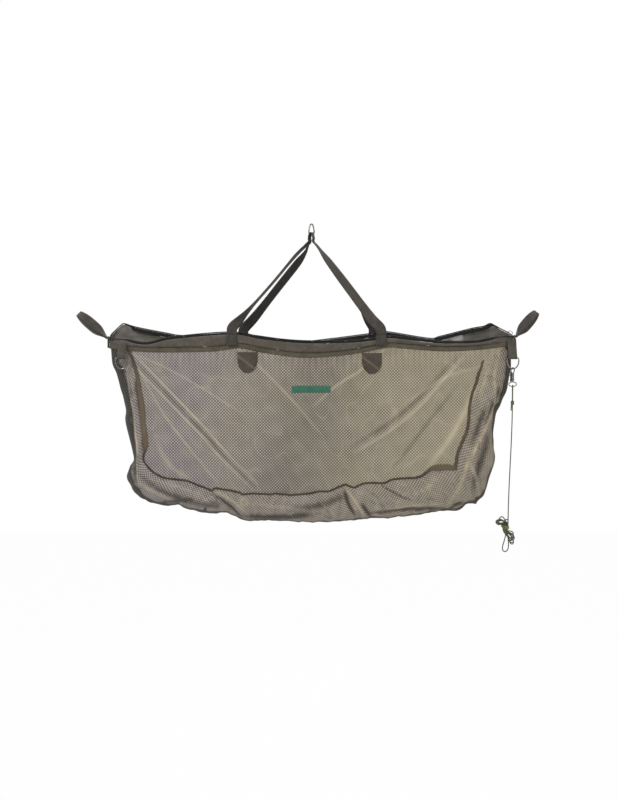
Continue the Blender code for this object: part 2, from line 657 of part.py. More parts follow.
def ring_tab(name, x):
    """A webbing tab sewn on the front collar's corner, folded round its D-ring's bar."""
    inner = math.copysign(abs(x) - TAB_WIDTH / 2, x)
    places, top, bottom, thick = collar_stations(FRONT_EDGE, FRONT_HEM, FRONT_TAPE, FRONT_REACH)
    face = lip_gap(inner) + COLLAR_THICK / 2 + np.interp(inner, places, thick) / 2
    seat = (np.interp(inner, places, top) + np.interp(inner, places, bottom)) / 2
    run = -DEE_Y - face - 2 * GAP - WEBBING
    rise = seat - DEE_Z
    long, lean = math.hypot(run, rise), math.atan2(run, rise)
    side = WEBBING / 2 + GAP
    round_bar = DEE_WIRE / 2 + 2 * GAP + WEBBING / 2
    bend = [(-round_bar * math.sin(t), round_bar * math.cos(t)) for t in np.linspace(-0.2, math.pi + 0.2, 11)]
    front = [(long + 0.004, side), (long * 0.5, side), (0.0100, side)]
    back = [(0.0100, -side), (long * 0.5, -side), (long, -side)]
    flat = smooth_spans(front + bend + back, 2)
    up = np.array([0.0, math.sin(lean), math.cos(lean)])
    out = np.array([0.0, -math.cos(lean), math.sin(lean)])
    path = np.array([x, DEE_Y, DEE_Z]) + flat[:, :1] * up + flat[:, 1:] * out
    return ribbon(name, path, [(1, 0, 0)] * len(path), TAB_WIDTH, WEBBING, webbing())


def dee_ring(name, x):
    """A D of round steel: its bar lies in the tab and its bow hangs below."""
    shoulder = 0.008
    bow = [(DEE_HALF * math.cos(t), -shoulder - (DEE_DEPTH - shoulder) * math.sin(t))
           for t in np.linspace(0, math.pi, 15)]
    corner = [(DEE_HALF - 0.0042, 0.0), (DEE_HALF - 0.0012, -0.0014)]
    flat = [(-a, z) for a, z in reversed(corner)] + corner + bow
    points = [(x + a, DEE_Y, DEE_Z + z) for a, z in flat]
    return wire(name, points, DEE_WIRE, steel(), closed=True)


def as_mesh(obj):
    """Turn a curve or a modified object into a plain mesh with its place in its points."""
    bpy.context.view_layer.update()
    mesh = bpy.data.meshes.new_from_object(obj.evaluated_get(bpy.context.evaluated_depsgraph_get()))
    shape = bmesh.new()
    shape.from_mesh(mesh)
    shape.transform(obj.matrix_world)
    bmesh.ops.remove_doubles(shape, verts=shape.verts, dist=1e-6)
    bmesh.ops.recalc_face_normals(shape, faces=shape.faces)
    shape.to_mesh(mesh)
    shape.free()
    name = obj.name
    bpy.data.objects.remove(obj, do_unlink=True)
    made = bpy.data.objects.new(name, mesh)
    collection_named(COLLECTION).objects.link(made)
    return made


def combine(name, first, joined, cut, surface):
    """Join solids to the first one, cut others out of it, and keep only the result."""
    first = as_mesh(first)
    for tools, operation in ((joined, "UNION"), (cut, "DIFFERENCE")):
        for tool in tools:
            tool = as_mesh(tool)
            step = first.modifiers.new(operation, "BOOLEAN")
            step.operation = operation
            step.solver = "EXACT"
            step.object = tool
            first = as_mesh(first)
            bpy.data.objects.remove(tool, do_unlink=True)
    first.name = name
    first.data.materials.clear()
    first.data.materials.append(surface)
    first.data.shade_smooth()
    first.data.set_sharp_from_angle(angle=math.radians(40))
    return first


def block(low, high):
    """A box between two corners."""
    low, high = Vector(low), Vector(high)
    shape = bmesh.new()
    bmesh.ops.create_cube(shape, size=1.0)
    shape.transform(Matrix.Translation((low + high) / 2) @ Matrix.Diagonal((*(high - low), 1.0)))
    return placed("block", shape)


def rod(radius, start, end, sides=16):
    """A cylinder between two points."""
    start, end = Vector(start), Vector(end)
    shape = bmesh.new()
    bmesh.ops.create_cone(shape, cap_ends=True, segments=sides, radius1=radius, radius2=radius,
                          depth=(end - start).length)
    turn = (end - start).to_track_quat("Z", "Y").to_matrix().to_4x4()
    shape.transform(Matrix.Translation((start + end) / 2) @ turn)
    return placed("rod", shape)


def placed(name, shape):
    """Put a bmesh solid in the sling's collection."""
    mesh = bpy.data.meshes.new(name)
    shape.to_mesh(mesh)
    shape.free()
    obj = bpy.data.objects.new(name, mesh)
    collection_named(COLLECTION).objects.link(obj)
    return obj


def hook_place():
    """Middle of the snap's hook, so that the hook hangs on the bow of the right D-ring."""
    bow = DEE_Z - DEE_DEPTH
    return Vector((RING_X["right"], DEE_Y, bow + DEE_WIRE / 2 + GAP + HOOK_WIRE / 2 - HOOK_RADIUS))


def hang_snap(obj):
    """Turn a piece of the snap from its own axes to where it hangs."""
    obj.location = hook_place()
    obj.rotation_euler = (0.0, 0.0, HOOK_TURN)
    return obj


def snap_hook():
    """Hook, barrel, ears and pivot pin of the snap, in one steel body."""
    turn = np.radians(np.linspace(-35, 208, 16))
    loop = [(HOOK_RADIUS * math.cos(t), 0.0, HOOK_RADIUS * math.sin(t)) for t in turn]
    root = [(0.0010, 0.0, BARREL_TOP - 0.0040), (0.0026, 0.0, BARREL_TOP)]
    hook = wire("hook", root + loop, HOOK_WIRE, steel())
    barrel = rod(BARREL / 2, (0, 0, BARREL_END), (0, 0, BARREL_TOP), 20)
    inner = TRIGGER_THICK / 2 + GAP
    across, up = PIVOT
    slot = block((-BARREL, -inner, up - 0.0026), (-0.0012, inner, BARREL_TOP + 0.001))
    bore = rod(STEM / 2 + STEM_CLEAR, (0, 0, BARREL_END - 0.001), (0, 0, BARREL_END + 0.0052))
    ears = [block((across - 0.0022, min(a, b), up - 0.0024), (0.0, max(a, b), up + 0.0024))
            for a, b in ((inner, inner + 0.0012), (-inner, -inner - 0.0012))]
    pin = rod(PIN / 2, (across, -inner - 0.0006, up), (across, inner + 0.0006, up), 12)
    body = combine("body", barrel, [hook], [slot, bore], steel())
    return hang_snap(combine("snap_hook", body, [*ears, pin], [], steel()))


def snap_trigger():
    """The sprung thumb lever that closes the hook's mouth."""
    across, up = PIVOT
    side = -BARREL / 2 - 0.0007
    outline = [(-0.0072, -0.0044), (-0.0050, -0.0044), (side + 0.0004, -0.0098), (side + 0.0004, up),
               (side, up - 0.003), (side, BARREL_END + 0.003), (side - 0.0014, BARREL_END - 0.0015),
               (side - 0.0042, BARREL_END - 0.0008), (across - 0.0020, up - 0.007), (across - 0.0018, up),
               (across - 0.0016, -0.0100)]
    lever = plate("lever", outline, 0.0, TRIGGER_THICK, zip_black())
    hole = rod(PIN / 2 + 0.0002, (across, -TRIGGER_THICK, up), (across, TRIGGER_THICK, up), 12)
    return hang_snap(combine("snap_trigger", lever, [], [hole], zip_black()))


def eye_height():
    """Height of the swivel eye's middle, below the barrel."""
    return hook_place().z + BARREL_END - 0.0010 - EYE_WIRE / 2 - EYE_HALF[1]


def snap_eye():
    """The oval swivel eye, with its stem in the barrel."""
    x, y, top = hook_place()
    z = eye_height()
    turn = np.linspace(0, 2 * math.pi, 24, endpoint=False)
    points = [(x + EYE_HALF[0] * math.cos(t), y, z + EYE_HALF[1] * math.sin(t)) for t in turn]
    oval = wire("oval", points, EYE_WIRE, steel(), closed=True)
    stem = rod(STEM / 2, (x, y, z + EYE_HALF[1]), (x, y, top + BARREL_END + 0.0050))
    return combine("snap_eye", oval, [stem], [], steel())


def knot_top():
    """Height of the knot's top, where the doubled cord ends."""
    return eye_height() - EYE_HALF[1] - KNOT_DROP


def cord_loop():
    """The cord's end, doubled through the swivel eye and down to the knot."""
    x, y, _ = hook_place()
    low = eye_height() - EYE_HALF[1]
    bend = EYE_WIRE / 2 + GAP + CORD / 2
    close = CORD / 2 + GAP
    end = knot_top() + GAP
    side = [(-close, end), (-close, end + CORD), (-close * 1.1, end + 0.012), (-bend * 0.95, low - 0.010)]
    arch = [(-bend * math.cos(t), low + bend * math.sin(t)) for t in np.linspace(0, math.pi, 9)]
    flat = smooth_spans(side + arch + [(-a, z) for a, z in reversed(side)], 2)
    return wire("cord_loop", [(x, y + a, z) for a, z in flat], CORD, cord_green(), resolution=1)


def cord_knot():
    """The knot below the doubled cord, as one round lump with flat ends."""
    x, y, _ = hook_place()
    wide, tall = KNOT
    profile = [(0.40, 0.0), (0.47, 0.1), (0.5, 0.4), (0.5, 0.7), (0.48, 0.9), (0.46, 1.0)]
    around = np.linspace(0, 2 * math.pi, 12, endpoint=False)
    sections = np.array([[(x + r * wide * math.cos(t), y + r * wide * math.sin(t), knot_top() - tall * h)
                          for t in around] for r, h in profile])
    return loft("cord_knot", sections, cord_green())


def line_points():
    """The hanging line, from the knot down to the hank; it drifts a little to the left."""
    x, y, _ = hook_place()
    share = np.linspace(0, 1, LINE_STEPS)
    top = knot_top() - KNOT[1] - GAP
    drift = LINE_LEAN * share ** 2 * (3 - 2 * share)
    return np.stack([x + drift, np.full_like(share, y), top + (LINE_END - top) * share], axis=1)


def cord_line():
    """The single line that hangs from the knot."""
    return wire("cord_line", line_points(), CORD, cord_green(), resolution=1)


def cord_tail():
    """The cord's cut end, beside the line."""
    x, y, top = line_points()[0]
    apart = CORD + GAP
    points = [(x - apart - 0.3 * drop ** 1.5, y, top - drop) for drop in (0.0, 0.003, 0.007, 0.012, 0.017)]
    return wire("cord_tail", points, TIE, cord_green(), resolution=1)


def hank_lobe(sign, reach, wide, lean):
    """One end of a loop: from the waist's right side round a teardrop to its left side, then drawn aside."""
    waist = (CORD + CORD_GAP) / 2
    t = np.linspace(0, math.pi, 11)
    out = np.sin(t)
    flare = (wide - 0.6 * waist) / 0.385
    across = np.cos(t) * (waist + flare * out ** 2)
    away = out * (reach - HANK_NECK)
    aside = lean * away ** 2 / (away + 0.014)
    return np.stack([across + aside, sign * (HANK_NECK + away)], axis=1)


def hank_points():
    """The hank's one strand: loops side by side, drawn in at the waist, fanned out below and above."""
    pitch = CORD + CORD_GAP
    waist = (CORD + CORD_GAP) / 2
    entry = LINE_END - GAP - WAIST_Z
    runs = [[(waist, 0.0, entry), (waist, 0.0, HANK_NECK)]]
    for k in range(HANK_LOOPS):
        share = k / (HANK_LOOPS - 1)
        depth = (k + 1) * pitch
        lower = hank_lobe(-1, 0.076 - 0.034 * share + 0.006 * math.cos(2.4 * k), 0.0095, -0.14 + 0.85 * share)
        upper = hank_lobe(1, 0.026 + 0.006 * math.sin(1.9 * k), 0.0075, -0.6 - 0.6 * share)[::-1]
        runs.append([(waist, depth - pitch / 2, 0.0)])
        runs.append([(a, depth, z) for a, z in lower])
        runs.append([(a, depth, z) for a, z in upper])
    last = HANK_LOOPS * pitch
    runs.append([(waist, last + pitch / 2, 0.0), (waist, last + pitch, -HANK_NECK)])
    runs.append([(waist, last + pitch, -HANK_NECK - 1.5 * CORD)])
    flat = np.array([place for run in runs for place in run])
    return flat


def from_hank(flat):
    """Places in the hank's own axes, turned about its first strand and hung below the line."""
    x, y, _ = line_points()[-1]
    waist = (CORD + CORD_GAP) / 2
    across, depth = flat[:, 0] - waist, flat[:, 1]
    cosine, sine = math.cos(HANK_TURN), math.sin(HANK_TURN)
    return np.stack([x + across * cosine - depth * sine, y + across * sine + depth * cosine,
                     WAIST_Z + flat[:, 2]], axis=1)


def least_gap(points, diameter):
    """Least distance between strands of one wound tube that aren't next to each other along it."""
    fine = np.vstack([points[:-1] + (points[1:] - points[:-1]) * t for t in (0.0, 0.25, 0.5, 0.75)])
    fine = fine.reshape(4, -1, 3).transpose(1, 0, 2).reshape(-1, 3)
    along = np.concatenate([[0], np.cumsum(np.linalg.norm(np.diff(fine, axis=0), axis=1))])
    apart = np.linalg.norm(fine[:, None] - fine[None], axis=2)
    apart[np.abs(along[:, None] - along[None]) < 4 * diameter] = 1.0
    return apart.min() - diameter


def cord_hank():
    """The spare cord wound into a hank, as one unbroken strand."""
    points = from_hank(hank_points())
    length = np.linalg.norm(np.diff(points, axis=0), axis=1).sum()
    print(f"hank: {len(points)} points, {length:.3f} m, least gap {least_gap(points, CORD) * 1000:.2f} mm")
    return wire("cord_hank", points, CORD, cord_green(), resolution=1)


def cord_tie():
    """A thin cord wrapped three times round the hank's waist."""
    pitch = CORD + CORD_GAP
    deep = (HANK_LOOPS + 1) * pitch / 2
    clear = CORD / 2 + CORD_GAP + TIE / 2
    half_x = (CORD + CORD_GAP) / 2 + clear
    half_y = deep + clear
    turn = np.linspace(0, 2 * math.pi * TIE_TURNS, 20 * TIE_TURNS + 1)
    power = 0.5
    across = half_x * np.sign(np.cos(turn)) * np.abs(np.cos(turn)) ** power
    depth = deep + half_y * np.sign(np.sin(turn)) * np.abs(np.sin(turn)) ** power
    height = (TIE + CORD_GAP) * (TIE_TURNS / 2 - turn / (2 * math.pi))
    return wire("cord_tie", from_hank(np.stack([across, depth, height], axis=1)), TIE,
                material("tie_green", (0.20, 0.25, 0.05), 0.8), resolution=1)


def slider_height():
    """Height of the coils at the zip slider."""
    return float(edge_height(REAR_EDGE, SLIDER_X) + edge_height(FRONT_EDGE, SLIDER_X)) / 2


def zip_slider():
    """The slider: two plates over and under the coils, their post, and a bail across the top."""
    long, wide = SLIDER
    z = slider_height()
    near = COIL / 2 + SLIDER_CLEAR
    plates = [block((SLIDER_X - long / 2, -wide / 2, z + side * near - (SLIDER_PLATE if side < 0 else 0)),
                    (SLIDER_X + long / 2, wide / 2, z + side * near + (SLIDER_PLATE if side > 0 else 0)))
              for side in (1, -1)]
    post = block((SLIDER_X - long / 2, -0.0018, z - near - SLIDER_PLATE / 2),
                 (SLIDER_X - long / 2 + 0.0040, 0.0018, z + near + SLIDER_PLATE / 2))
    top = z + near + SLIDER_PLATE / 2
    half = [(BAIL_REACH, top), (BAIL_REACH, top + BAIL_RISE * 0.6), (BAIL_REACH * 0.7, top + BAIL_RISE)]
    arch = [(SLIDER_X, -a, h) for a, h in half] + [(SLIDER_X, a, h) for a, h in reversed(half)]
    bail = wire("bail", arch, BAIL_WIRE, steel(), resolution=1)
    return combine("zip_slider", plates[0], [post, plates[1], bail], [], steel())


def pull_hinge():
    """Where the pull's ring runs under the slider's bail."""
    plate_top = slider_height() + COIL / 2 + SLIDER_CLEAR + SLIDER_PLATE
    return Vector((SLIDER_X, 0.0, plate_top + GAP + PULL_WIRE / 2))


def zip_pull():
    """A ring pull in the bail, leaning back."""
    x, y, z = pull_hinge()
    turn = np.linspace(0, 2 * math.pi, 20, endpoint=False)
    up = PULL_RADIUS * (1 - np.cos(turn))
    points = [(x + PULL_RADIUS * math.sin(t), y + u * math.sin(PULL_LEAN), z + u * math.cos(PULL_LEAN))
              for t, u in zip(turn, up)]
    return wire("zip_pull", points, PULL_WIRE, steel(), closed=True, resolution=1)


def make_bag():
    """Everything sewn together as the bag itself."""
    panel("front_panel", -1, FRONT_HEM)
    panel("rear_panel", 1, REAR_HEM)
    gusset()
    seam_binding("front_seam_binding", -1)
    seam_binding("rear_seam_binding", 1)
    for word, side, edge, hem, tape, reach in (("front", -1, FRONT_EDGE, FRONT_HEM, FRONT_TAPE, FRONT_REACH),
                                               ("rear", 1, REAR_EDGE, REAR_HEM, REAR_TAPE, HOOD_FROM - GAP)):
        collar(word + "_collar", side, edge, hem, tape, reach)
        lip_float(word + "_float", side, edge, hem, tape, reach)
        hem_tape(word + "_hem_tape", side, edge, hem, tape, reach)
        zip_coil(word + "_zip_coil", side, edge)
    zip_tape("rear_zip_tape", 1, REAR_EDGE, REAR_TAPE)
    zip_tape("front_zip_tape_left", -1, FRONT_EDGE, FRONT_TAPE, high=0.0)
    zip_tape("front_zip_tape_right", -1, FRONT_EDGE, FRONT_TAPE, low=0.0)
    end_hood("left_end_hood", -1)
    end_hood("right_end_hood", 1)
    for word, side, hem, feet in (("front", -1, FRONT_HEM, FRONT_FEET), ("rear", 1, REAR_HEM, REAR_FEET)):
        for place, foot in zip(("left", "right"), feet):
            strap_patch(f"{word}_{place}_patch", side, hem, foot)
            strap_foot(f"{word}_{place}_strap_foot", side, foot)
    label()
    for place, x in RING_X.items():
        end_patch(place + "_end_patch", math.copysign(1, x))
        ring_tab(place + "_ring_tab", x)


def make_handles():
    """Carry straps, end handles and rings."""
    front_left = [(-0.2285, -0.0620, -0.2990), (-0.2020, -0.0555, -0.2690), (-0.115, -0.034, -0.175),
                  (-0.046, -0.014, -0.092), (-0.016, 0.000, -0.060)]
    front_right = [(0.1990, -0.0620, -0.2990), (0.1750, -0.0555, -0.2690), (0.102, -0.036, -0.190),
                   (0.046, -0.020, -0.112), (0.016, -0.008, -0.064)]
    rear_left = [(-0.2010, 0.0620, -0.2990), (-0.1770, 0.0560, -0.2690), (-0.098, 0.042, -0.180),
                 (-0.034, 0.030, -0.100), (-0.013, 0.025, -0.064)]
    rear_right = [(0.1835, 0.0620, -0.2990), (0.1620, 0.0560, -0.2690), (0.102, 0.042, -0.185),
                  (0.044, 0.030, -0.108), (0.018, 0.025, -0.066)]
    carry_strap("front_handle", -1, FRONT_FEET, (front_left, front_right), ring_bar(), RING_TURN)
    rear_bar = (0.0, REAR_APEX_Y, ring_bar()[2])
    carry_strap("rear_handle", 1, REAR_FEET, (rear_left, rear_right), rear_bar, 0.0)
    hanging_ring()
    for place, (end, foot, rise, reach) in END_HANDLES.items():
        end_handle(place + "_end_handle", end, foot, rise, reach)
        dee_ring(place + "_d_ring", RING_X[place])


def make_cord_and_slider():
    """The snap hook with the retention cord, and the zip slider."""
    snap_hook()
    snap_trigger()
    snap_eye()
    cord_loop()
    cord_knot()
    cord_line()
    cord_tail()
    cord_hank()
    cord_tie()
    zip_slider()
    zip_pull()


def joint(name, place, pieces, carrier=None):
    """An empty on a joint's axis, which carries the pieces that move with it."""
    empty = bpy.data.objects.new(name, None)
    empty.empty_display_size = 0.02
    empty.location = place
    collection_named(COLLECTION).objects.link(empty)
    if carrier is not None:
        empty.parent = carrier
        empty.matrix_parent_inverse = Matrix.Translation(-carrier.location)
    for piece in pieces:
        obj = bpy.data.objects[piece]
        obj.parent = empty
        obj.matrix_parent_inverse = Matrix.Translation(-empty.location)
    return empty


def make_joints():
    """The joints' empties, from the bag outwards."""
    fold = STRAP_Y + WEBBING / 2 + GAP
    front = joint("front_strap_fold", (0.0, -fold, HINGE_Z), ["front_handle"])
    joint("rear_strap_fold", (0.0, fold, HINGE_Z), ["rear_handle"])
    joint("ring_swing", ring_bar(), ["hanging_ring"], front)
    for place, (end, foot, _, _) in END_HANDLES.items():
        joint(place + "_loop_swing", handle_foot(end, foot), [place + "_end_handle"])
    joint("left_dee_swing", (RING_X["left"], DEE_Y, DEE_Z), ["left_d_ring"])
    dee = joint("right_dee_swing", (RING_X["right"], DEE_Y, DEE_Z), ["right_d_ring"])
    snap = joint("snap_swing", (RING_X["right"], DEE_Y, DEE_Z - DEE_DEPTH), ["snap_hook"], dee)
    pivot = hook_place() + Matrix.Rotation(HOOK_TURN, 3, "Z") @ Vector((PIVOT[0], 0.0, PIVOT[1]))
    joint("trigger_swing", pivot, ["snap_trigger"], snap)
    cord = ["cord_loop", "cord_knot", "cord_line", "cord_tail", "cord_hank", "cord_tie"]
    joint("swivel_spin", (RING_X["right"], DEE_Y, eye_height()), ["snap_eye", *cord], snap)
    slider = joint("slider_slide", (SLIDER_X, 0.0, slider_height()), ["zip_slider"])
    joint("pull_swing", pull_hinge(), ["zip_pull"], slider)


clear_scene()
make_bag()
make_handles()
make_cord_and_slider()
make_joints()
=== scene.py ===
import math

import bpy
import numpy as np
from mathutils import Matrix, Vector


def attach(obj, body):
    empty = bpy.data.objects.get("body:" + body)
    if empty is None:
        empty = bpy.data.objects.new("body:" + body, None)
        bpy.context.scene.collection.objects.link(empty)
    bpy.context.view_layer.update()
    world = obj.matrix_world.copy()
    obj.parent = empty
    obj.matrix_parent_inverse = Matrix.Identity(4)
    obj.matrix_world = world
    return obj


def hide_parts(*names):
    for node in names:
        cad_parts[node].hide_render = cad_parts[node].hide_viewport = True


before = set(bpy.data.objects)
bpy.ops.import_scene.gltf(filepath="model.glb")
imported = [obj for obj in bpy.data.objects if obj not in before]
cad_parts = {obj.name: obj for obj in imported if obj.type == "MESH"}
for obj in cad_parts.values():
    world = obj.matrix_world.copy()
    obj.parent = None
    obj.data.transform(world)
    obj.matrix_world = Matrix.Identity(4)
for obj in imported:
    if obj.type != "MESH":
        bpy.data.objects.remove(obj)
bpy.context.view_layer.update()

FRAME_SIZE, ORIGIN_PIXEL = (618, 800), (311.5, 226)  # of the photograph
PER_PIXEL = 0.00297  # metres at the sling, from the 30 mm webbing
VIEW_AWAY, VIEW_RISE = 3.8, math.radians(4.0)
FLOOR_Z = -1.95

# Sizes shared with the frame
GAP = 0.0003  # clearance between two pieces
LIP, ZIP_CLOSE, MOUTH_END = 0.052, 0.0030, 0.600  # half the mouth's gap, middle and ends; its half length
SEAM_HALF, SEAM_HALF_TOP = 0.068, 0.020  # half the gusset's width, at the bottom and at its tops
COLLAR_THICK, COLLAR_END, HEM = 0.014, 0.005, 0.015  # a collar in the middle and at its ends; its hem's height
FRONT_TAPE, REAR_TAPE, COIL, TAPE = 0.007, 0.013, 0.0034, 0.0011
PIPING = 0.0050  # the seam binding's width in the frame
PANEL_END, HOOD_FROM = 0.570, 0.456  # where the panels' top edges end and the hoods begin
WEBBING, STRAP_WIDTH = 0.0016, 0.030
HINGE_Z, STRAP_Y, APEX_Z = -0.322, 0.0637, -0.026  # the carry straps' folding lines and tops
APEX_WIDTH, APEX_HALF, RING_WIRE = 0.014, 0.0085, 0.0040  # a strap gathered at the ring, half its bight, the wire
CORD, CORD_GAP = 0.0032, 0.0008
PITCH = CORD + CORD_GAP
HOOK = np.array([0.590, -0.043, -0.4254])
EYE_LOW, EYE_WIRE = -0.4740, 0.0028  # middle and thickness of the eye's bottom wire
KNOT_TOP, KNOT_TALL = -0.5160, 0.012
LINE_END, LINE_LEAN, WAIST_Z = -0.8750, -0.0090, -0.8910  # where the line ends, its drift, and the hank's waist

# Sizes of the soft forms
NET_PERIOD = 0.0088  # between the drawn rows of holes
PANEL_ROWS, PANEL_COLS = 130, 300
GUSSET_SIDE, GUSSET_BOTTOM, GUSSET_ACROSS = 110, 330, 44  # steps down a side, along the bottom, across
SLIDER_FROM, SLIDER_TO, SLIDER_DEEP = 0.545, 0.598, 0.009  # where the rear lip stands back
BINDING_THICK, HEM_THICK, HOOD_THICK = 0.0030, 0.0024, 0.0012
PATCH_THICK, PATCH_LIFT, LABEL_THICK, LABEL_LIFT = 0.0014, 0.0022, 0.0010, 0.0016
BLEACHED_X = 0.435  # middle of the rear collar's pale stretch
HANK_TURN, HANK_NECK = math.radians(15), 0.0065  # its turn about the line, and its waist's half height

# Seams, outlines, edges and hems as points in X and Z, from the left or from the top
LEFT_SEAM = [(-0.5393, -0.3640), (-0.5290, -0.3892), (-0.5156, -0.4256), (-0.5078, -0.4619),
             (-0.5019, -0.4983), (-0.4961, -0.5346), (-0.4931, -0.5710), (-0.4899, -0.6002),
             (-0.4861, -0.6293), (-0.4846, -0.6469), (-0.4907, -0.6704), (-0.4909, -0.6910),
             (-0.4788, -0.7101)]
BOTTOM_SEAM = [(-0.4788, -0.7101), (-0.4536, -0.7306), (-0.4308, -0.7398), (-0.4048, -0.7437),
               (-0.3658, -0.7489), (-0.3366, -0.7601), (-0.3009, -0.7752), (-0.2911, -0.7778),
               (-0.2813, -0.7712), (-0.2488, -0.7765), (-0.2097, -0.7843), (-0.2019, -0.7896),
               (-0.1706, -0.7870), (-0.1185, -0.7896), (-0.1055, -0.7857), (-0.0794, -0.7896),
               (-0.0403, -0.7896), (-0.0012, -0.7857), (0.0183, -0.7804), (0.0444, -0.7804),
               (0.0639, -0.7752), (0.0964, -0.7601), (0.1095, -0.7647), (0.1258, -0.7686),
               (0.1420, -0.7607), (0.1615, -0.7555), (0.1876, -0.7548), (0.2136, -0.7555),
               (0.2299, -0.7489), (0.2461, -0.7437), (0.2852, -0.7411), (0.3177, -0.7371),
               (0.3358, -0.7240), (0.3501, -0.7149), (0.3585, -0.7116), (0.3907, -0.7086),
               (0.4212, -0.7131)]
RIGHT_SEAM = [(0.5117, -0.3560), (0.5020, -0.3965), (0.4923, -0.4297), (0.4810, -0.4669),
              (0.4693, -0.4997), (0.4628, -0.5322), (0.4604, -0.5698), (0.4547, -0.6024),
              (0.4393, -0.6398), (0.4279, -0.6683), (0.4225, -0.6966), (0.4212, -0.7131)]
LEFT_OUTLINE = [(-0.5940, -0.3600), (-0.5900, -0.4063), (-0.5765, -0.4458), (-0.5631, -0.4954),
                (-0.5515, -0.5447), (-0.5533, -0.5744), (-0.5432, -0.6207), (-0.5319, -0.6671),
                (-0.5293, -0.6968), (-0.5417, -0.7164), (-0.5500, -0.7428), (-0.5360, -0.7830)]
BOTTOM_OUTLINE = [(-0.5360, -0.7830), (-0.5219, -0.7961), (-0.4856, -0.8208), (-0.4392, -0.8329),
                  (-0.4127, -0.8322), (-0.3961, -0.8309), (-0.3729, -0.8422), (-0.3199, -0.8536),
                  (-0.2867, -0.8536), (-0.2535, -0.8523), (-0.2269, -0.8650), (-0.2004, -0.8777),
                  (-0.1500, -0.8770), (-0.0610, -0.8800), (0.0000, -0.8840), (0.0600, -0.8815),
                  (0.1550, -0.8744), (0.1782, -0.8690), (0.2247, -0.8704), (0.3110, -0.8603),
                  (0.3575, -0.8523), (0.4039, -0.8469), (0.4272, -0.8476), (0.4470, -0.8402),
                  (0.4648, -0.8262), (0.4901, -0.8268), (0.4931, -0.8228)]
RIGHT_OUTLINE = [(0.5920, -0.3560), (0.5900, -0.4250), (0.5780, -0.4900), (0.5480, -0.5600),
                 (0.5410, -0.6400), (0.5483, -0.6794), (0.5407, -0.7160), (0.5292, -0.7527),
                 (0.5163, -0.7994), (0.4931, -0.8228)]
FRONT_EDGE = [(-0.598, -0.335), (-0.545, -0.337), (-0.485, -0.345), (-0.405, -0.328),
              (-0.235, -0.314), (-0.145, -0.328), (-0.030, -0.339), (0.100, -0.339),
              (0.180, -0.332), (0.225, -0.325), (0.270, -0.329), (0.380, -0.341),
              (0.480, -0.340), (0.545, -0.330), (0.598, -0.328)]
FRONT_HEM = [(-0.598, -0.364), (-0.480, -0.374), (-0.300, -0.372), (-0.212, -0.362),
             (-0.145, -0.374), (-0.030, -0.389), (0.100, -0.382), (0.218, -0.361),
             (0.270, -0.363), (0.380, -0.371), (0.480, -0.368), (0.560, -0.360), (0.598, -0.358)]
REAR_EDGE = [(-0.598, -0.335), (-0.594, -0.3225), (-0.584, -0.312), (-0.570, -0.2985),
             (-0.556, -0.2905), (-0.520, -0.301), (-0.435, -0.318), (-0.380, -0.326), (-0.250, -0.320),
             (-0.185, -0.324), (-0.120, -0.333), (-0.034, -0.344), (0.055, -0.336), (0.178, -0.320),
             (0.220, -0.314), (0.350, -0.334), (0.385, -0.328), (0.475, -0.305), (0.512, -0.298),
             (0.530, -0.290), (0.545, -0.2965), (0.560, -0.3045), (0.574, -0.3115), (0.588, -0.3190),
             (0.598, -0.328)]
REAR_HEM = [(-0.598, -0.364), (-0.450, -0.370), (-0.200, -0.380), (0.000, -0.388),
            (0.200, -0.376), (0.450, -0.368), (0.598, -0.358)]

# Folds of the netting: points along each in X and Z, how far it stands out, half its width,
# and how much paler (above 0) or darker (below 0) its cloth looks, as painted light on its crest and painted
# shade in its hollow
DIAGONAL = [(-0.5209, -0.3827), (-0.4639, -0.4377), (-0.3725, -0.5301), (-0.3018, -0.6038),
            (-0.2448, -0.6696), (-0.1573, -0.7570)]
PANEL_FOLDS = [
    (DIAGONAL, 0.0016, 0.0024, 0.75),
    ([(x - 0.0075, z - 0.0105) for x, z in DIAGONAL], -0.0024, 0.0045, -0.38),
    ([(x - 0.0150, z - 0.0190) for x, z in DIAGONAL], 0.0014, 0.0024, 0.62),
    ([(-0.5189, -0.4024), (-0.4423, -0.5379), (-0.3813, -0.6215), (-0.3194, -0.7001),
      (-0.2762, -0.7531)], 0.0022, 0.0035, 0.42),
    ([(-0.5267, -0.3778), (-0.4226, -0.4210), (-0.3126, -0.4819),
      (-0.1966, -0.5546)], 0.0017, 0.0030, 0.40),
    ([(-0.2389, -0.3434), (-0.1357, -0.4289), (-0.0483, -0.5212), (0.0293, -0.6136)], 0.0017, 0.0040, 0.41),
    ([(0.4322, -0.3827), (0.3516, -0.4682), (0.2902, -0.5301), (0.2111, -0.5910),
      (0.1178, -0.6480)], -0.0040, 0.0090, -0.40),
    ([(0.4440, -0.3896), (0.3634, -0.4800), (0.3025, -0.5438), (0.2239, -0.6057),
      (0.1276, -0.6647)], 0.0022, 0.0050, 0.54),
    ([(0.4322, -0.4662), (0.3251, -0.5998), (0.2730, -0.6696), (0.2258, -0.7266)], -0.0030, 0.0080, -0.28),
    ([(0.4813, -0.4662), (0.4567, -0.5301), (0.4037, -0.6264), (0.3437, -0.7079)], 0.0060, 0.0120, 0.70),
    ([(0.2180, -0.3601), (0.1502, -0.4200), (0.0755, -0.4682), (0.0097, -0.5252)], 0.0014, 0.0050, 0.54),
    ([(0.4911, -0.4171), (0.3929, -0.4466), (0.2848, -0.5153)], 0.0017, 0.0070, 0.34),
    ([(-0.4521, -0.6332), (-0.4226, -0.6922), (-0.3735, -0.7364)], 0.0017, 0.0080, 0.27),
]
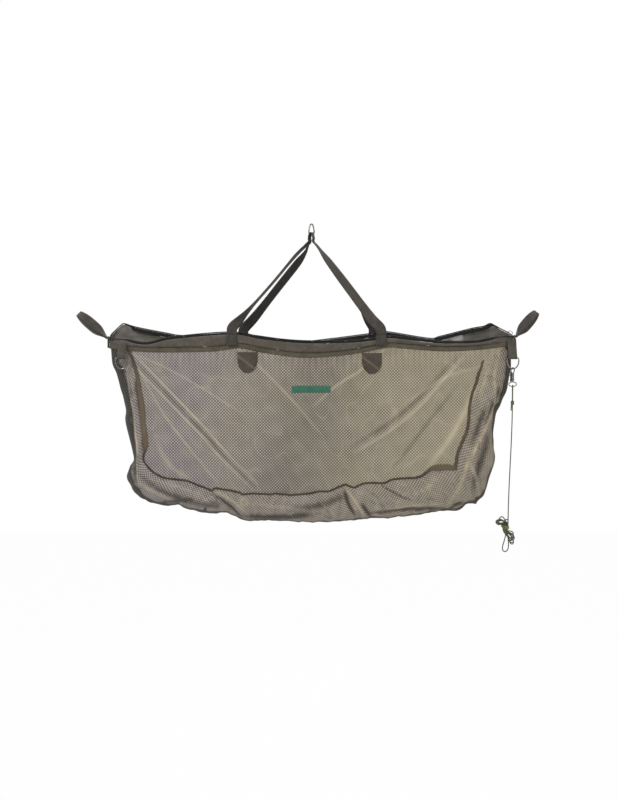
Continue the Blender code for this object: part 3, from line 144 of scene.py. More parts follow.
REAR_FOLDS = [
    ([(-0.5200, -0.3900), (-0.3800, -0.5400), (-0.2400, -0.6900),
      (-0.1700, -0.7700)], 0.0050, 0.0120, 0.45),
    ([(-0.4500, -0.3900), (-0.3300, -0.5200), (-0.1800, -0.6400)], 0.0035, 0.0120, 0.25),
    ([(0.5000, -0.4000), (0.3800, -0.5200), (0.2500, -0.6400), (0.1500, -0.7200)], 0.0050, 0.0120, 0.45),
    ([(0.4300, -0.4600), (0.3500, -0.6000), (0.2900, -0.7200)], -0.0035, 0.0100, -0.35),
    ([(-0.1900, -0.3800), (-0.0800, -0.5000), (0.0100, -0.6200)], 0.0030, 0.0120, 0.25),
    ([(0.1700, -0.3800), (0.0900, -0.5000), (0.0400, -0.6000)], 0.0030, 0.0120, 0.25),
]
GUSSET_FOLDS = [
    ([(-0.5446, -0.4226), (-0.5363, -0.4820), (-0.5217, -0.5548), (-0.5184, -0.6041), (-0.5128, -0.6537),
      (-0.5120, -0.7033), (-0.5108, -0.7395), (-0.5037, -0.7660)], 0.0050, 0.0028, 0.85),
    ([(-0.5200, -0.5950), (-0.5150, -0.6350), (-0.5120, -0.6700)], 0.0030, 0.0060, 0.55),
    ([(-0.5050, -0.7600), (-0.4739, -0.7800), (-0.4087, -0.8060)], 0.0040, 0.0060, 0.40),
    ([(-0.5291, -0.3980), (-0.5153, -0.4671), (-0.4956, -0.5954),
      (-0.4916, -0.6842)], -0.0040, 0.0070, -0.45),
    ([(-0.5528, -0.4178), (-0.5380, -0.4770), (-0.5252, -0.5757), (-0.5153, -0.6842),
      (-0.5212, -0.7533)], -0.0040, 0.0090, -0.60),
    ([(0.5447, -0.3980), (0.5378, -0.4375), (0.5408, -0.5165), (0.5131, -0.5954), (0.4855, -0.6458),
      (0.4500, -0.7158), (0.4342, -0.7681), (0.4065, -0.8185)], 0.0060, 0.0036, 0.75),
    ([(0.5289, -0.3980), (0.5082, -0.4572), (0.4934, -0.5066)], 0.0040, 0.0050, 0.40),
    ([(0.5131, -0.5362), (0.4983, -0.5658), (0.4855, -0.6053), (0.4717, -0.6349)], -0.0050, 0.0100, -0.45),
    ([(0.5210, -0.6152), (0.5052, -0.6744), (0.4835, -0.7336), (0.4756, -0.7829)], -0.0050, 0.0120, -0.50),
    ([(0.5526, -0.4770), (0.5329, -0.5362), (0.5131, -0.5855)], -0.0040, 0.0080, -0.50),
    ([(0.4638, -0.6941), (0.4816, -0.7336), (0.4934, -0.7731)], 0.0050, 0.0060, 0.50),
    ([(-0.1988, -0.8582), (-0.1066, -0.8615), (-0.0012, -0.8515)], 0.0040, 0.0110, -0.62),
    ([(-0.0670, -0.8362), (0.0252, -0.8216), (0.0976, -0.7951)], 0.0040, 0.0130, -0.36),
    ([(-0.1724, -0.8183), (-0.0934, -0.8283), (-0.0078, -0.8362)], 0.0030, 0.0060, 0.25),
    ([(0.1041, -0.7752), (0.1239, -0.8050), (0.1470, -0.8416), (0.1537, -0.8615)], 0.0060, 0.0045, 0.60),
    ([(0.0962, -0.7805), (0.1095, -0.8216), (0.1280, -0.8548)], -0.0050, 0.0065, -0.62),
    ([(0.1490, -0.8216), (0.1622, -0.8416), (0.1735, -0.8602)], -0.0040, 0.0060, -0.58),
    ([(0.2027, -0.7619), (0.2489, -0.7885), (0.2951, -0.8097)], -0.0030, 0.0026, -0.60),
    ([(0.1701, -0.8515), (0.2557, -0.8389), (0.3545, -0.8362), (0.4072, -0.8389)], -0.0030, 0.0065, -0.58),
    ([(0.2096, -0.8416), (0.2886, -0.8263), (0.3873, -0.8216)], 0.0030, 0.0035, 0.45),
    ([(0.3016, -0.7951), (0.3474, -0.7619), (0.3735, -0.7322)], 0.0030, 0.0050, 0.25),
    ([(-0.5008, -0.7355), (-0.4486, -0.7752), (-0.3698, -0.8084), (-0.2778, -0.8283)], 0.0040, 0.0120, -0.38),
    ([(-0.4489, -0.8190), (-0.3962, -0.8123), (-0.3501, -0.8044)], -0.0030, 0.0060, -0.42),
    ([(-0.4812, -0.7421), (-0.4090, -0.7619), (-0.3302, -0.7885)], 0.0030, 0.0040, 0.30),
    ([(-0.2907, -0.7885), (-0.2514, -0.8150), (-0.2068, -0.8615)], -0.0050, 0.0050, -0.62),
    ([(-0.2775, -0.7832), (-0.2382, -0.8057), (-0.1988, -0.8402)], 0.0050, 0.0040, 0.50),
    ([(0.4072, -0.8389), (0.4269, -0.8256), (0.4466, -0.8190)], -0.0030, 0.0050, -0.85),
]
# Along the bag's border, from its top left round the bottom to its top right: share of the way,
# then the width of the gusset's dark doubled edge, drawn as painted shade, and of the bound front seam
RIM_WIDTHS = [(0.0, 0.020), (0.03, 0.030), (0.08, 0.027), (0.12, 0.022), (0.15, 0.015), (0.17, 0.013),
              (0.19, 0.024), (0.21, 0.026), (0.24, 0.015), (0.28, 0.014), (0.33, 0.010), (0.40, 0.009),
              (0.50, 0.008), (0.60, 0.009), (0.70, 0.008), (0.78, 0.010), (0.80, 0.013), (0.83, 0.009),
              (0.88, 0.009), (0.91, 0.014), (0.95, 0.020), (1.0, 0.018)]
SEAM_WIDTHS = [(0.0, 0.007), (0.03, 0.010), (0.08, 0.013), (0.13, 0.016), (0.160, 0.014), (0.175, 0.006),
               (0.2, 0.0055), (0.72, 0.0055), (0.745, 0.008), (0.765, 0.018), (0.79, 0.016), (0.81, 0.009),
               (0.85, 0.010), (0.90, 0.008), (0.94, 0.009), (0.97, 0.012), (1.0, 0.012)]

# Carry straps: their feet, the patches below these, then for the left and the right leg its points
# above the foot, and its twist as shares of the rise and degrees from lying flat
FRONT_FEET, REAR_FEET = (-0.232, 0.203), (-0.205, 0.187)
FRONT_PATCHES, REAR_PATCHES = (-0.187, 0.176), (-0.169, 0.151)
FRONT_LEGS = ([(-0.2285, -0.0620, -0.2990), (-0.1990, -0.0555, -0.2680), (-0.1155, -0.0340, -0.1734),
               (-0.0500, -0.0140, -0.0944), (-0.0160, 0.0000, -0.0600)],
              [(0.1975, -0.0620, -0.2990), (0.1700, -0.0555, -0.2690), (0.1110, -0.0380, -0.1900),
               (0.0530, -0.0220, -0.1120), (0.0180, -0.0080, -0.0640)])
REAR_LEGS = ([(-0.1960, 0.0620, -0.2990), (-0.1680, 0.0560, -0.2690), (-0.0970, 0.0420, -0.1800),
              (-0.0300, 0.0300, -0.0960), (-0.0120, 0.0250, -0.0660)],
             [(0.1840, 0.0620, -0.2990), (0.1640, 0.0560, -0.2690), (0.1130, 0.0420, -0.1850),
              (0.0520, 0.0300, -0.1080), (0.0190, 0.0250, -0.0660)])
FRONT_TWISTS = ([(0.06, 0), (0.26, 76), (0.74, 76), (0.90, 45)],
                [(0.10, 0), (0.30, 18), (0.55, 24), (0.75, 42), (0.95, 60)])
REAR_TWISTS = ([(0.10, 0), (0.28, 32), (0.70, 32), (0.84, 60), (0.94, 90)],
               [(0.08, 0), (0.32, 84), (0.65, 90)])

# End handles: half their width, and their outline as shares of their reach and of that half
LOOP_HALF = 0.0085
LOOP_SHAPE = [(0.14, 0.35), (0.34, 0.90), (0.58, 1.0), (0.82, 0.85), (0.96, 0.45), (1.0, 0.0)]

# How far each lower and upper loop of the hank reaches, its width, and its leans near the tie and at its
# end, in degrees; the first lean is reached at LEAN_SHARE of the way
LOWER_LOOPS = [(0.075, 0.0095, -3, -14), (0.059, 0.0062, 40, 10), (0.051, 0.0065, 54, 36),
               (0.058, 0.0062, 46, 18), (0.050, 0.0068, 58, 50), (0.055, 0.0062, 52, 28),
               (0.049, 0.0105, 60, 70)]
UPPER_LOOPS = [(0.023, 0.0090, -26, -26), (0.038, 0.0105, -64, -60), (0.034, 0.0068, -88, -96),
               (0.037, 0.0064, -80, -86), (0.036, 0.0062, -98, -104), (0.038, 0.0064, -92, -98),
               (0.035, 0.0070, -94, -98)]
LEAN_SHARE = 0.4
TAIL_DROPS = (0.001, 0.003, 0.007, 0.012, 0.017)  # points of the cord's short end below the knot


# Shapes as numpy arrays
def smooth_spans(points, steps):
    """Catmull-Rom: between two points, a cubic whose ends lean along their neighbours."""
    pts = np.array(points, float)
    ends = np.vstack([2 * pts[0] - pts[1], pts, 2 * pts[-1] - pts[-2]])
    t = np.linspace(0, 1, steps, endpoint=False)[None, :, None]
    a, b, c, d = (ends[k:len(pts) - 1 + k][:, None] for k in range(4))
    run = 2 * b + (c - a) * t + (2 * a - 5 * b + 4 * c - d) * t ** 2 + (3 * b - a - 3 * c + d) * t ** 3
    return np.vstack([0.5 * run.reshape(-1, pts.shape[1]), pts[-1:]])


def run_length(line):
    """Length along a line at each of its points."""
    return np.concatenate([[0], np.cumsum(np.linalg.norm(np.diff(line, axis=0), axis=1))])


def respaced(line, count):
    """The same line as so many points, at even lengths along it."""
    along = run_length(line)
    at = np.linspace(0, along[-1], count)
    return np.stack([np.interp(at, along, line[:, k]) for k in range(line.shape[1])], axis=1)


def smooth_line(points, count):
    """A smooth curve through the points, as so many evenly spaced ones."""
    return respaced(smooth_spans(points, 24), count)


def height_at(table, x):
    """Height of a smooth edge at the places x."""
    fine = smooth_line(table, 400)
    return np.interp(x, fine[:, 0], fine[:, 1])


def lip_gap(x):
    """Half the mouth's gap: widest in the middle, nearly closed at the ends."""
    return ZIP_CLOSE + (LIP - ZIP_CLOSE) * (1 - np.clip(np.abs(x) / MOUTH_END, 0, 1) ** 2.4)


def lip_place(side, x):
    """Depth of a lip's edge; the rear one stands back at the ends, behind the zip's slider."""
    out = np.abs(x)
    ends = np.clip((out - SLIDER_FROM) / 0.02, 0, 1) * np.clip((SLIDER_TO - out) / 0.006, 0, 1)
    return side * lip_gap(x) + (side > 0) * SLIDER_DEEP * ends


def waves(x, z, seed, reach):
    """Soft unevenness, from -1 to 1: a sum of six sines in seeded directions, about reach long."""
    rng = np.random.default_rng(seed)
    total, count = 0.0, 6
    for _ in range(count):
        turn, phase, stretch = rng.uniform(0, math.tau, 2).tolist() + [rng.uniform(0.6, 1.7)]
        run = x * math.cos(turn) + z * math.sin(turn)
        total = total + np.sin(run * math.tau / (reach * stretch) + phase)
    return total / math.sqrt(count) / 1.6


def wrinkles(x, z, seed, reach):
    """Thin wandering creases: exp(-(w / 0.06)^2), where w is a soft unevenness, so along its zeros."""
    return np.exp(-(waves(x, z, seed, reach) / 0.06) ** 2) * (0.5 + 0.5 * waves(x, z, seed + 50, reach))


def fold_field(x, z, folds):
    """Height and paleness that the folds add, the paleness being painted light and painted shade: each is a bell
    across its line, fading at its ends.
    """
    height, tint = np.zeros_like(x), np.zeros_like(x)
    for line, out, half, pale in folds:
        points = smooth_line(line, 30)
        apart, share = np.full(x.shape, np.inf), np.zeros(x.shape)
        for step, (first, second) in enumerate(zip(points[:-1], points[1:])):
            run = second - first
            along = np.clip(((x - first[0]) * run[0] + (z - first[1]) * run[1]) / (run @ run), 0, 1)
            far = np.hypot(x - first[0] - along * run[0], z - first[1] - along * run[1])
            share = np.where(far < apart, (step + along) / (len(points) - 1), share)
            apart = np.minimum(apart, far)
        fade = np.sin(np.clip(share, 0.02, 0.98) * math.pi) ** 0.35
        height += out * np.exp(-(apart / half) ** 2) * fade
        # the fold's paleness is painted light on its crest, and painted shade where it is below 0
        tint += pale * np.exp(-(apart / (half * 0.8)) ** 2) * fade
    return height, tint


def surface(name, grid, material, uv=None, tint=None, wrap=False, caps=False, flip=False):
    """A quad mesh over a grid of points; wrap joins its last column to its first, flip turns it over."""
    if flip:
        grid, uv, tint = (part if part is None else part[:, ::-1] for part in (grid, uv, tint))
    rows, cols = grid.shape[:2]
    r, c = np.meshgrid(np.arange(rows - 1), np.arange(cols if wrap else cols - 1), indexing="ij")
    corner_r, corner_c = np.stack([r, r, r + 1, r + 1], -1), np.stack([c, c + 1, c + 1, c], -1)
    faces = (corner_r * cols + corner_c % cols).reshape(-1, 4).tolist()
    if caps:
        faces += [list(range(cols))[::-1], [(rows - 1) * cols + k for k in range(cols)]]
    mesh = bpy.data.meshes.new(name)
    mesh.from_pydata(grid.reshape(-1, 3).tolist(), [], faces)
    if uv is not None:
        values = uv[corner_r, corner_c].reshape(-1, 2)
        flat = np.zeros((len(mesh.loops), 2))
        flat[:len(values)] = values
        mesh.uv_layers.new(name="cloth").data.foreach_set("uv", flat.reshape(-1))
    if tint is not None:
        attribute = mesh.attributes.new("tint", "FLOAT", "POINT")
        attribute.data.foreach_set("value", tint.reshape(-1).astype(np.float32))
    mesh.materials.append(material)
    mesh.shade_smooth()
    obj = bpy.data.objects.new(name, mesh)
    bpy.context.scene.collection.objects.link(obj)
    return obj


def points_of(obj):
    """A mesh's points as rows of X, Y and Z."""
    points = np.empty(len(obj.data.vertices) * 3)
    obj.data.vertices.foreach_get("co", points)
    return points.reshape(-1, 3)


def thickened(obj, thick):
    """Give a cloth surface its thickness, half to each side."""
    solid = obj.modifiers.new("thickness", "SOLIDIFY")
    solid.thickness, solid.offset = thick, 0.0
    return obj


def tube(name, path, radius, material, sides=12):
    """A round cord: a circle carried along the path, in frames that turn as little as they can."""
    path = np.array(path, float)
    along = np.gradient(path, axis=0)
    along /= np.linalg.norm(along, axis=1)[:, None]
    first = np.zeros_like(path)
    side = np.array([0.0, 1.0, 0.0])
    for i, run in enumerate(along):
        side = side - run * side.dot(run)
        side /= np.linalg.norm(side)
        first[i] = side
    second = np.cross(along, first)
    turn = np.linspace(0, math.tau, sides, endpoint=False)[None, :, None]
    grid = path[:, None] + (first[:, None] * np.cos(turn) + second[:, None] * np.sin(turn)) * radius
    uv = np.stack(np.broadcast_arrays(np.linspace(0, 1, sides + 1)[None, :], run_length(path)[:, None]), -1)
    return surface(name, grid, material, uv=uv, wrap=True, caps=True, flip=True)


# Across a webbing's section: places from edge to edge and back, and from its upper to its lower face
FLAT_WIDE = np.array([-1, -0.97, -0.5, 0, 0.5, 0.97, 1, 0.97, 0.5, 0, -0.5, -0.97])
FLAT_FACE = np.array([0, 1, 1, 1, 1, 1, 0, -1, -1, -1, -1, -1])


def band(name, path, across, width, thick, material, tint=None):
    """Webbing: a flat section with rounded edges, carried along a path with its width turned across it."""
    path, across = np.array(path, float), np.array(across, float)
    along = np.gradient(path, axis=0)
    along /= np.linalg.norm(along, axis=1)[:, None]
    wide = across - along * (across * along).sum(axis=1)[:, None]
    wide /= np.linalg.norm(wide, axis=1)[:, None]
    face = np.cross(along, wide)
    half = np.broadcast_to(np.asarray(width, float) / 2, len(path))[:, None]
    grid = (path[:, None] + wide[:, None] * FLAT_WIDE[None, :, None] * half[:, :, None]
            + face[:, None] * (FLAT_FACE * thick / 2)[None, :, None])
    u = np.append(FLAT_WIDE, FLAT_WIDE[0])[None, :] * half
    uv = np.stack(np.broadcast_arrays(u, run_length(path)[:, None]), -1)
    if tint is not None:
        tint = np.broadcast_to(tint[:, None], grid.shape[:2])
    return surface(name, grid, material, uv=uv, tint=tint, wrap=True, caps=True)


# Materials
def linear(color):
    """An sRGB hex colour as linear red, green, blue and alpha."""
    parts = [int(color[i:i + 2], 16) / 255 for i in (0, 2, 4)]
    return [p / 12.92 if p <= 0.04045 else ((p + 0.055) / 1.055) ** 2.4 for p in parts] + [1.0]


def feed(node, links):
    """Set a node's sockets, by number or name, to values, hex colours or the outputs of other nodes."""
    for key, value in links.items():
        if isinstance(value, bpy.types.NodeSocket):
            node.id_data.links.new(value, node.inputs[key])
        else:
            node.inputs[key].default_value = linear(value) if isinstance(value, str) else value


def add(tree, kind, links=None, gives=0, **settings):
    """Add a node with its settings and links; returns one of its outputs, or the node where gives is None."""
    node = tree.nodes.new(kind)
    for key, value in settings.items():
        setattr(node, key, value)
    feed(node, links or {})
    return node if gives is None else node.outputs[gives]


def new_material(name, roughness, metallic=0.0, sheen=0.0):
    """A Principled material, its tree, its shader and the place that its patterns read."""
    made = bpy.data.materials.new(name)
    made.use_nodes = True
    shader = made.node_tree.nodes["Principled BSDF"]
    feed(shader, {"Roughness": roughness, "Metallic": metallic, "Sheen Weight": sheen})
    return made, made.node_tree, shader, add(made.node_tree, "ShaderNodeTexCoord", gives="Object")


def layered(tree, base, *layers):
    """A colour with other colours laid over it one by one, each by its own factor."""
    for factor, color in layers:
        base = add(tree, "ShaderNodeMix", {0: factor, 6: base, 7: color}, 2, data_type="RGBA")
    return base


def patches(tree, place, size, detail=3.0, low=0.35, high=0.65, most=1.0):
    """Soft random patches about size metres across, as a factor from 0 to most."""
    noise = add(tree, "ShaderNodeTexNoise", {"Vector": place, "Scale": 1.0 / size, "Detail": detail})
    return add(tree, "ShaderNodeMapRange", {0: noise, 1: low, 2: high, 4: most})


def lattice(tree, uv, period):
    """Holes of a net on the diagonal: the product of two cosines, high at each hole's middle."""
    turns = add(tree, "ShaderNodeVectorMath", {0: uv, "Scale": math.tau / period}, operation="SCALE")
    cosines = add(tree, "ShaderNodeVectorMath", {0: turns}, operation="COSINE")
    split = add(tree, "ShaderNodeSeparateXYZ", {0: cosines}, None).outputs
    return add(tree, "ShaderNodeMath", {0: split[0], 1: split[1]}, operation="MULTIPLY")


def netting(name, left, right, hole_light_left, hole_light_right, pale, dark):
    """Knitted polyester mesh: matt threads round staggered holes, which let some light through; that light is
    also painted into the holes' pale colours.

    The real holes are about 2 mm apart, too fine for this view, so they are drawn about 9 mm apart.
    Tint comes from the folds: doubled cloth shows no holes. The tint is also painted light and shade: the pale
    colour is a painted highlight on crests, the shadow colours are painted shade in hollows and on the gusset's
    turned edge.
    """
    made, tree, shader, place = new_material(name, 0.85, sheen=0.1)
    uv = add(tree, "ShaderNodeUVMap", uv_map="cloth")
    x = add(tree, "ShaderNodeSeparateXYZ", {0: place})
    across = add(tree, "ShaderNodeMapRange", {0: x, 1: -0.40, 2: 0.35})
    warm = add(tree, "ShaderNodeMath", {0: across, 1: patches(tree, place, 0.16, most=0.30)}, operation="ADD",
               use_clamp=True)
    tint = add(tree, "ShaderNodeAttribute", gives="Fac", attribute_name="tint")
    strong = add(tree, "ShaderNodeMath", {0: tint}, operation="ABSOLUTE")
    doubled = add(tree, "ShaderNodeMapRange", {0: strong, 1: 0.25, 2: 0.95})
    every = add(tree, "ShaderNodeMapRange", {0: lattice(tree, uv, NET_PERIOD), 1: 0.02, 2: 0.55})
    closed = add(tree, "ShaderNodeMath", {0: every, 1: doubled}, operation="MULTIPLY")
    hole = add(tree, "ShaderNodeMath", {0: every, 1: closed}, operation="SUBTRACT")
    shade = add(tree, "ShaderNodeMapRange", {0: tint, 1: 0.0, 2: -0.8})
    shadow = layered(tree, "3B3024", (add(tree, "ShaderNodeMapRange", {0: shade, 1: 0.75, 2: 1.0}), "17130E"))
    light = layered(tree, hole_light_left, (warm, hole_light_right))
    # Over the cloth: random darker patches, the holes' painted light, the folds' painted highlight (pale) and
    # painted shade (shadow), then faint painted light in closed holes
    base = layered(tree, left, (warm, right), (patches(tree, place, 0.05, 5.0, most=0.30), dark),
                   (add(tree, "ShaderNodeMapRange", {0: hole, 4: 0.95}), light),
                   (add(tree, "ShaderNodeMapRange", {0: tint}), pale), (shade, shadow),
                   (add(tree, "ShaderNodeMapRange", {0: closed, 4: 0.16}), light))
    crumple = add(tree, "ShaderNodeTexNoise", {"Vector": place, "Scale": 26.0, "Detail": 4.0})
    soft = add(tree, "ShaderNodeBump", {"Height": crumple, "Strength": 0.35, "Distance": 0.006})
    knit = add(tree, "ShaderNodeBump", {"Height": hole, "Normal": soft, "Strength": 0.4, "Distance": 0.0006},
               invert=True)
    feed(shader, {"Base Color": base, "Alpha": add(tree, "ShaderNodeMapRange", {0: hole, 3: 1.0, 4: 0.70}),
                  "Normal": knit})
    return made


def woven(name, color, dark, thread, roughness, pucker=0.0, sheen=0.1, wear_and_highlight="8A8172"):
    """Woven polyester: fine crossing threads, slightly uneven dye and a paler bloom of wear.
    Its tint paints the same pale colour above 0 and near black below: painted highlight and painted shade
    where a piece follows its folds or turned sides, random tone elsewhere.

    The real threads are under 1 mm apart, too fine for this view, so they are drawn 2 to 3 mm apart.
    """
    made, tree, shader, place = new_material(name, roughness, sheen=sheen)
    weave = lattice(tree, add(tree, "ShaderNodeUVMap", uv_map="cloth"), thread)
    tint = add(tree, "ShaderNodeAttribute", gives="Fac", attribute_name="tint")
    base = layered(tree, color, (patches(tree, place, 0.035, 4.0), dark),
                   (patches(tree, place, 0.012, 4.0, 0.55, 0.75, 0.30), wear_and_highlight),
                   (add(tree, "ShaderNodeMapRange", {0: weave, 1: -0.6, 2: 0.6, 4: 0.22}), "1C1A16"),
                   # painted highlight where the tint is above 0, painted shade in near black where it is below
                   (add(tree, "ShaderNodeMapRange", {0: tint}), wear_and_highlight),
                   (add(tree, "ShaderNodeMapRange", {0: tint, 1: 0.0, 2: -1.0}), "211D18"))
    fold = add(tree, "ShaderNodeTexNoise", {"Vector": place, "Scale": 60.0, "Detail": 3.0})
    soft = add(tree, "ShaderNodeBump", {"Height": fold, "Strength": 0.3 + pucker, "Distance": 0.004})
    fine = add(tree, "ShaderNodeBump", {"Height": weave, "Normal": soft, "Strength": 0.4, "Distance": 0.0003})
    feed(shader, {"Base Color": base, "Normal": fine})
    return made


def nickel_plate():
    """Nickel-plated steel wire: bright and slightly yellow, with faint handling marks."""
    made, tree, shader, place = new_material("nickel_plated_steel", 0.24, metallic=1.0)
    marks = patches(tree, place, 0.004, 6.0, 0.45, 0.7)
    feed(shader, {"Base Color": layered(tree, "7A7873", (marks, "4C4A46")),
                  "Roughness": add(tree, "ShaderNodeMapRange", {0: marks, 3: 0.26, 4: 0.50})})
    return made


def coated_lever():
    """Black coated steel, satin, with a grain of fine pits."""
    made, tree, shader, place = new_material("black_coated_steel", 0.42)
    grain = add(tree, "ShaderNodeTexNoise", {"Vector": place, "Scale": 1800.0})
    bump = add(tree, "ShaderNodeBump", {"Height": grain, "Strength": 0.2, "Distance": 0.0002})
    base = layered(tree, "161513", (patches(tree, place, 0.003, 5.0), "2A2825"))
    feed(shader, {"Base Color": base, "Normal": bump})
    return made


def braid(name, color, light, pick):
    """Braided cord: two sets of yarns wind round it against each other, pick metres apart."""
    made, tree, shader, place = new_material(name, 0.8, sheen=0.1)
    uv = add(tree, "ShaderNodeUVMap", uv_map="cloth")
    rates = (math.tau * 4, math.tau / pick, 0.0)
    turns = add(tree, "ShaderNodeVectorMath", {0: uv, 1: rates}, operation="MULTIPLY")
    split = add(tree, "ShaderNodeSeparateXYZ", {0: turns}, None).outputs
    sines = []
    for way in ("ADD", "SUBTRACT"):
        lean = add(tree, "ShaderNodeMath", {0: split[0], 1: split[1]}, operation=way)
        sines.append(add(tree, "ShaderNodeMath", {0: lean}, operation="SINE"))
    product = add(tree, "ShaderNodeMath", {0: sines[0], 1: sines[1]}, operation="MULTIPLY")
    yarn = add(tree, "ShaderNodeMapRange", {0: product, 1: -0.8, 2: 0.8})
    base = layered(tree, color, (yarn, light), (patches(tree, place, 0.012, most=0.3), "2C3024"))
    bump = add(tree, "ShaderNodeBump", {"Height": yarn, "Strength": 0.6, "Distance": 0.0004})
    feed(shader, {"Base Color": base, "Normal": bump})
    return made


def satin_label():
    """Woven satin label: smooth green with ribs 1.2 mm apart, left bare, and a paler folded edge."""
    made, tree, shader, place = new_material("woven_satin_label", 0.5, sheen=0.2)
    tint = add(tree, "ShaderNodeAttribute", gives="Fac", attribute_name="tint")
    base = layered(tree, "2A6650", (patches(tree, place, 0.02), "235843"), (tint, "4E9C7E"))
    weave = lattice(tree, add(tree, "ShaderNodeUVMap", uv_map="cloth"), 0.0012)
    bump = add(tree, "ShaderNodeBump", {"Height": weave, "Strength": 0.3, "Distance": 0.0002})
    feed(shader, {"Base Color": base, "Normal": bump})
    return made


def zip_nylon(name, pitch):
    """Black nylon zip coil: smooth loops, pitch metres apart along the piece."""
    made, tree, shader, _ = new_material(name, 0.6)
    uv = add(tree, "ShaderNodeUVMap", uv_map="cloth")
    turns = add(tree, "ShaderNodeVectorMath", {0: uv, "Scale": math.tau / pitch}, operation="SCALE")
    sines = add(tree, "ShaderNodeVectorMath", {0: turns}, operation="SINE")
    loops = add(tree, "ShaderNodeSeparateXYZ", {0: sines}, 1)
    light = add(tree, "ShaderNodeMapRange", {0: loops, 1: -1.0, 2: 1.0})
    bump = add(tree, "ShaderNodeBump", {"Height": light, "Strength": 0.8, "Distance": 0.0008})
    feed(shader, {"Base Color": layered(tree, "0A0907", (light, "211E19")), "Normal": bump})
    return made


def foam():
    """Closed-cell foam: dull, with a skin of tiny cells."""
    made, tree, shader, place = new_material("closed_cell_foam", 0.9)
    cells = add(tree, "ShaderNodeTexVoronoi", {"Vector": place, "Scale": 900.0})
    feed(shader, {"Base Color": layered(tree, "2E2E2E", (cells, "1E1E1E"))})
    return made


# Each netting: cloth left and right, the holes' painted light left and right, the folds' painted highlight,
# random darker patches
NET = netting("polyester_mesh", "686060", "7D735E", "E6DDDB", "EDE3C9", "D2C4A6", "564D44")
NET_REAR = netting("polyester_mesh_rear", "6E6561", "7E745F", "DCD3CF", "DCD1B8", "C4B79D", "544B43")
NET_GUSSET = netting("polyester_mesh_gusset", "726965", "7C7263", "E4DBD7", "E2D7C4", "D6C5A2", "524940")
COLLAR = woven("coated_polyester_collar", "5A5145", "494239", 0.0022, 0.66, 0.25)
REAR_COLLAR = woven("coated_polyester_rear_collar", "6A685B", "565549", 0.0022, 0.62, 0.25, wear_and_highlight="D0CECD")
HEM_TAPE = woven("polyester_hem_tape", "5F5746", "4D4537", 0.0024, 0.75, 0.3, wear_and_highlight="84795F")
HOOD = woven("coated_polyester_hood", "928B85", "6E6962", 0.0022, 0.6, 0.2)
BINDING = woven("polyester_seam_binding", "4E4333", "3C3328", 0.0024, 0.8, wear_and_highlight="6D5E4A")
STRAP = woven("polyester_webbing", "453E36", "332D27", 0.0030, 0.7, wear_and_highlight="6B645A")
# The rear webbing is the same webbing as the front, drawn darker as painted shade
STRAP_SHADED = woven("polyester_webbing_rear_shaded", "2C2A26", "1D1B18", 0.0030, 0.7, wear_and_highlight="4A463F")
LOOP = woven("polyester_webbing_loop", "423D37", "2E2A26", 0.0030, 0.7, wear_and_highlight="746B5E")
TAB = woven("polyester_webbing_tab", "544D41", "3A352D", 0.0030, 0.7, wear_and_highlight="7C7768")
PATCH = woven("polyester_patch", "4C4136", "3E352B", 0.0022, 0.75, wear_and_highlight="6E6252")
ZIP_TAPE = woven("polyester_zip_tape", "15130F", "0D0C0A", 0.0020, 0.85, sheen=0.0, wear_and_highlight="2B2720")
ZIP_COIL = zip_nylon("nylon_zip_coil", 0.0030)
STEEL = nickel_plate()
LEVER = coated_lever()
CORD_BRAID = braid("polyester_cord_braid", "454B38", "6A7153", 0.0042)
# The tie's bright lime is painted light: backlight glowing through its wraps
TIE_BRAID_BACKLIT = braid("polyester_tie_braid_backlit", "748434", "9DAE52", 0.0034)
LABEL = satin_label()
FOAM = foam()


# Camera, light and floor
def look(obj, place, target):
    """Put an object at a place, facing a target."""
    obj.location = place
    obj.rotation_euler = (Vector(target) - Vector(place)).to_track_quat("-Z", "Y").to_euler()


def make_camera():
    """The photograph's view: nearly level from the front, its frame 2.97 mm to the pixel at the sling."""
    middle = ((FRAME_SIZE[0] / 2 - ORIGIN_PIXEL[0]) * PER_PIXEL, 0.0,
              (ORIGIN_PIXEL[1] - FRAME_SIZE[1] / 2) * PER_PIXEL)
    data = bpy.data.cameras.new("view")
    data.sensor_fit = "VERTICAL"
    data.sensor_height = 24.0
    data.lens = 24.0 * VIEW_AWAY / (FRAME_SIZE[1] * PER_PIXEL)
    camera = bpy.data.objects.new("view", data)
    place = (middle[0], -VIEW_AWAY * math.cos(VIEW_RISE), middle[2] + VIEW_AWAY * math.sin(VIEW_RISE))
    look(camera, place, middle)
    bpy.context.scene.collection.objects.link(camera)
    bpy.context.scene.camera = camera


def make_light():
    """Large soft lamps at the left front, right front, above and behind, and an even pale world."""
    for name, place, size, power in (
            ("key", (-2.0, -2.6, 1.8), 1.4, 62.0), ("fill", (2.6, -2.4, 0.2), 2.2, 20.0),
            ("top", (0.3, 0.6, 2.6), 2.0, 24.0), ("back", (0.0, 2.8, -0.2), 2.4, 16.0)):
        data = bpy.data.lights.new(name, "AREA")
        data.shape = "DISK"
        data.size = size
        data.energy = power
        lamp = bpy.data.objects.new(name, data)
        look(lamp, place, (0.0, 0.0, -0.5))
        bpy.context.scene.collection.objects.link(lamp)
    world = bpy.data.worlds.new("pale")
    bpy.context.scene.world = world
    world.use_nodes = True
    tree = world.node_tree
    tree.nodes.clear()
    path = add(tree, "ShaderNodeLightPath", gives=None).outputs
    glossy = add(tree, "ShaderNodeMath", {0: path["Is Glossy Ray"], 1: 0.8}, operation="MULTIPLY")
    through = add(tree, "ShaderNodeMath", {0: glossy, 1: path["Is Transmission Ray"]}, operation="MAXIMUM")
    seen = add(tree, "ShaderNodeMath", {0: path["Is Camera Ray"], 1: through}, operation="MAXIMUM")
    strength = add(tree, "ShaderNodeMapRange", {0: seen, 3: 0.42, 4: 1.0})
    glow = add(tree, "ShaderNodeBackground", {"Color": "FFFFFF", "Strength": strength})
    add(tree, "ShaderNodeOutputWorld", {0: glow}, None)


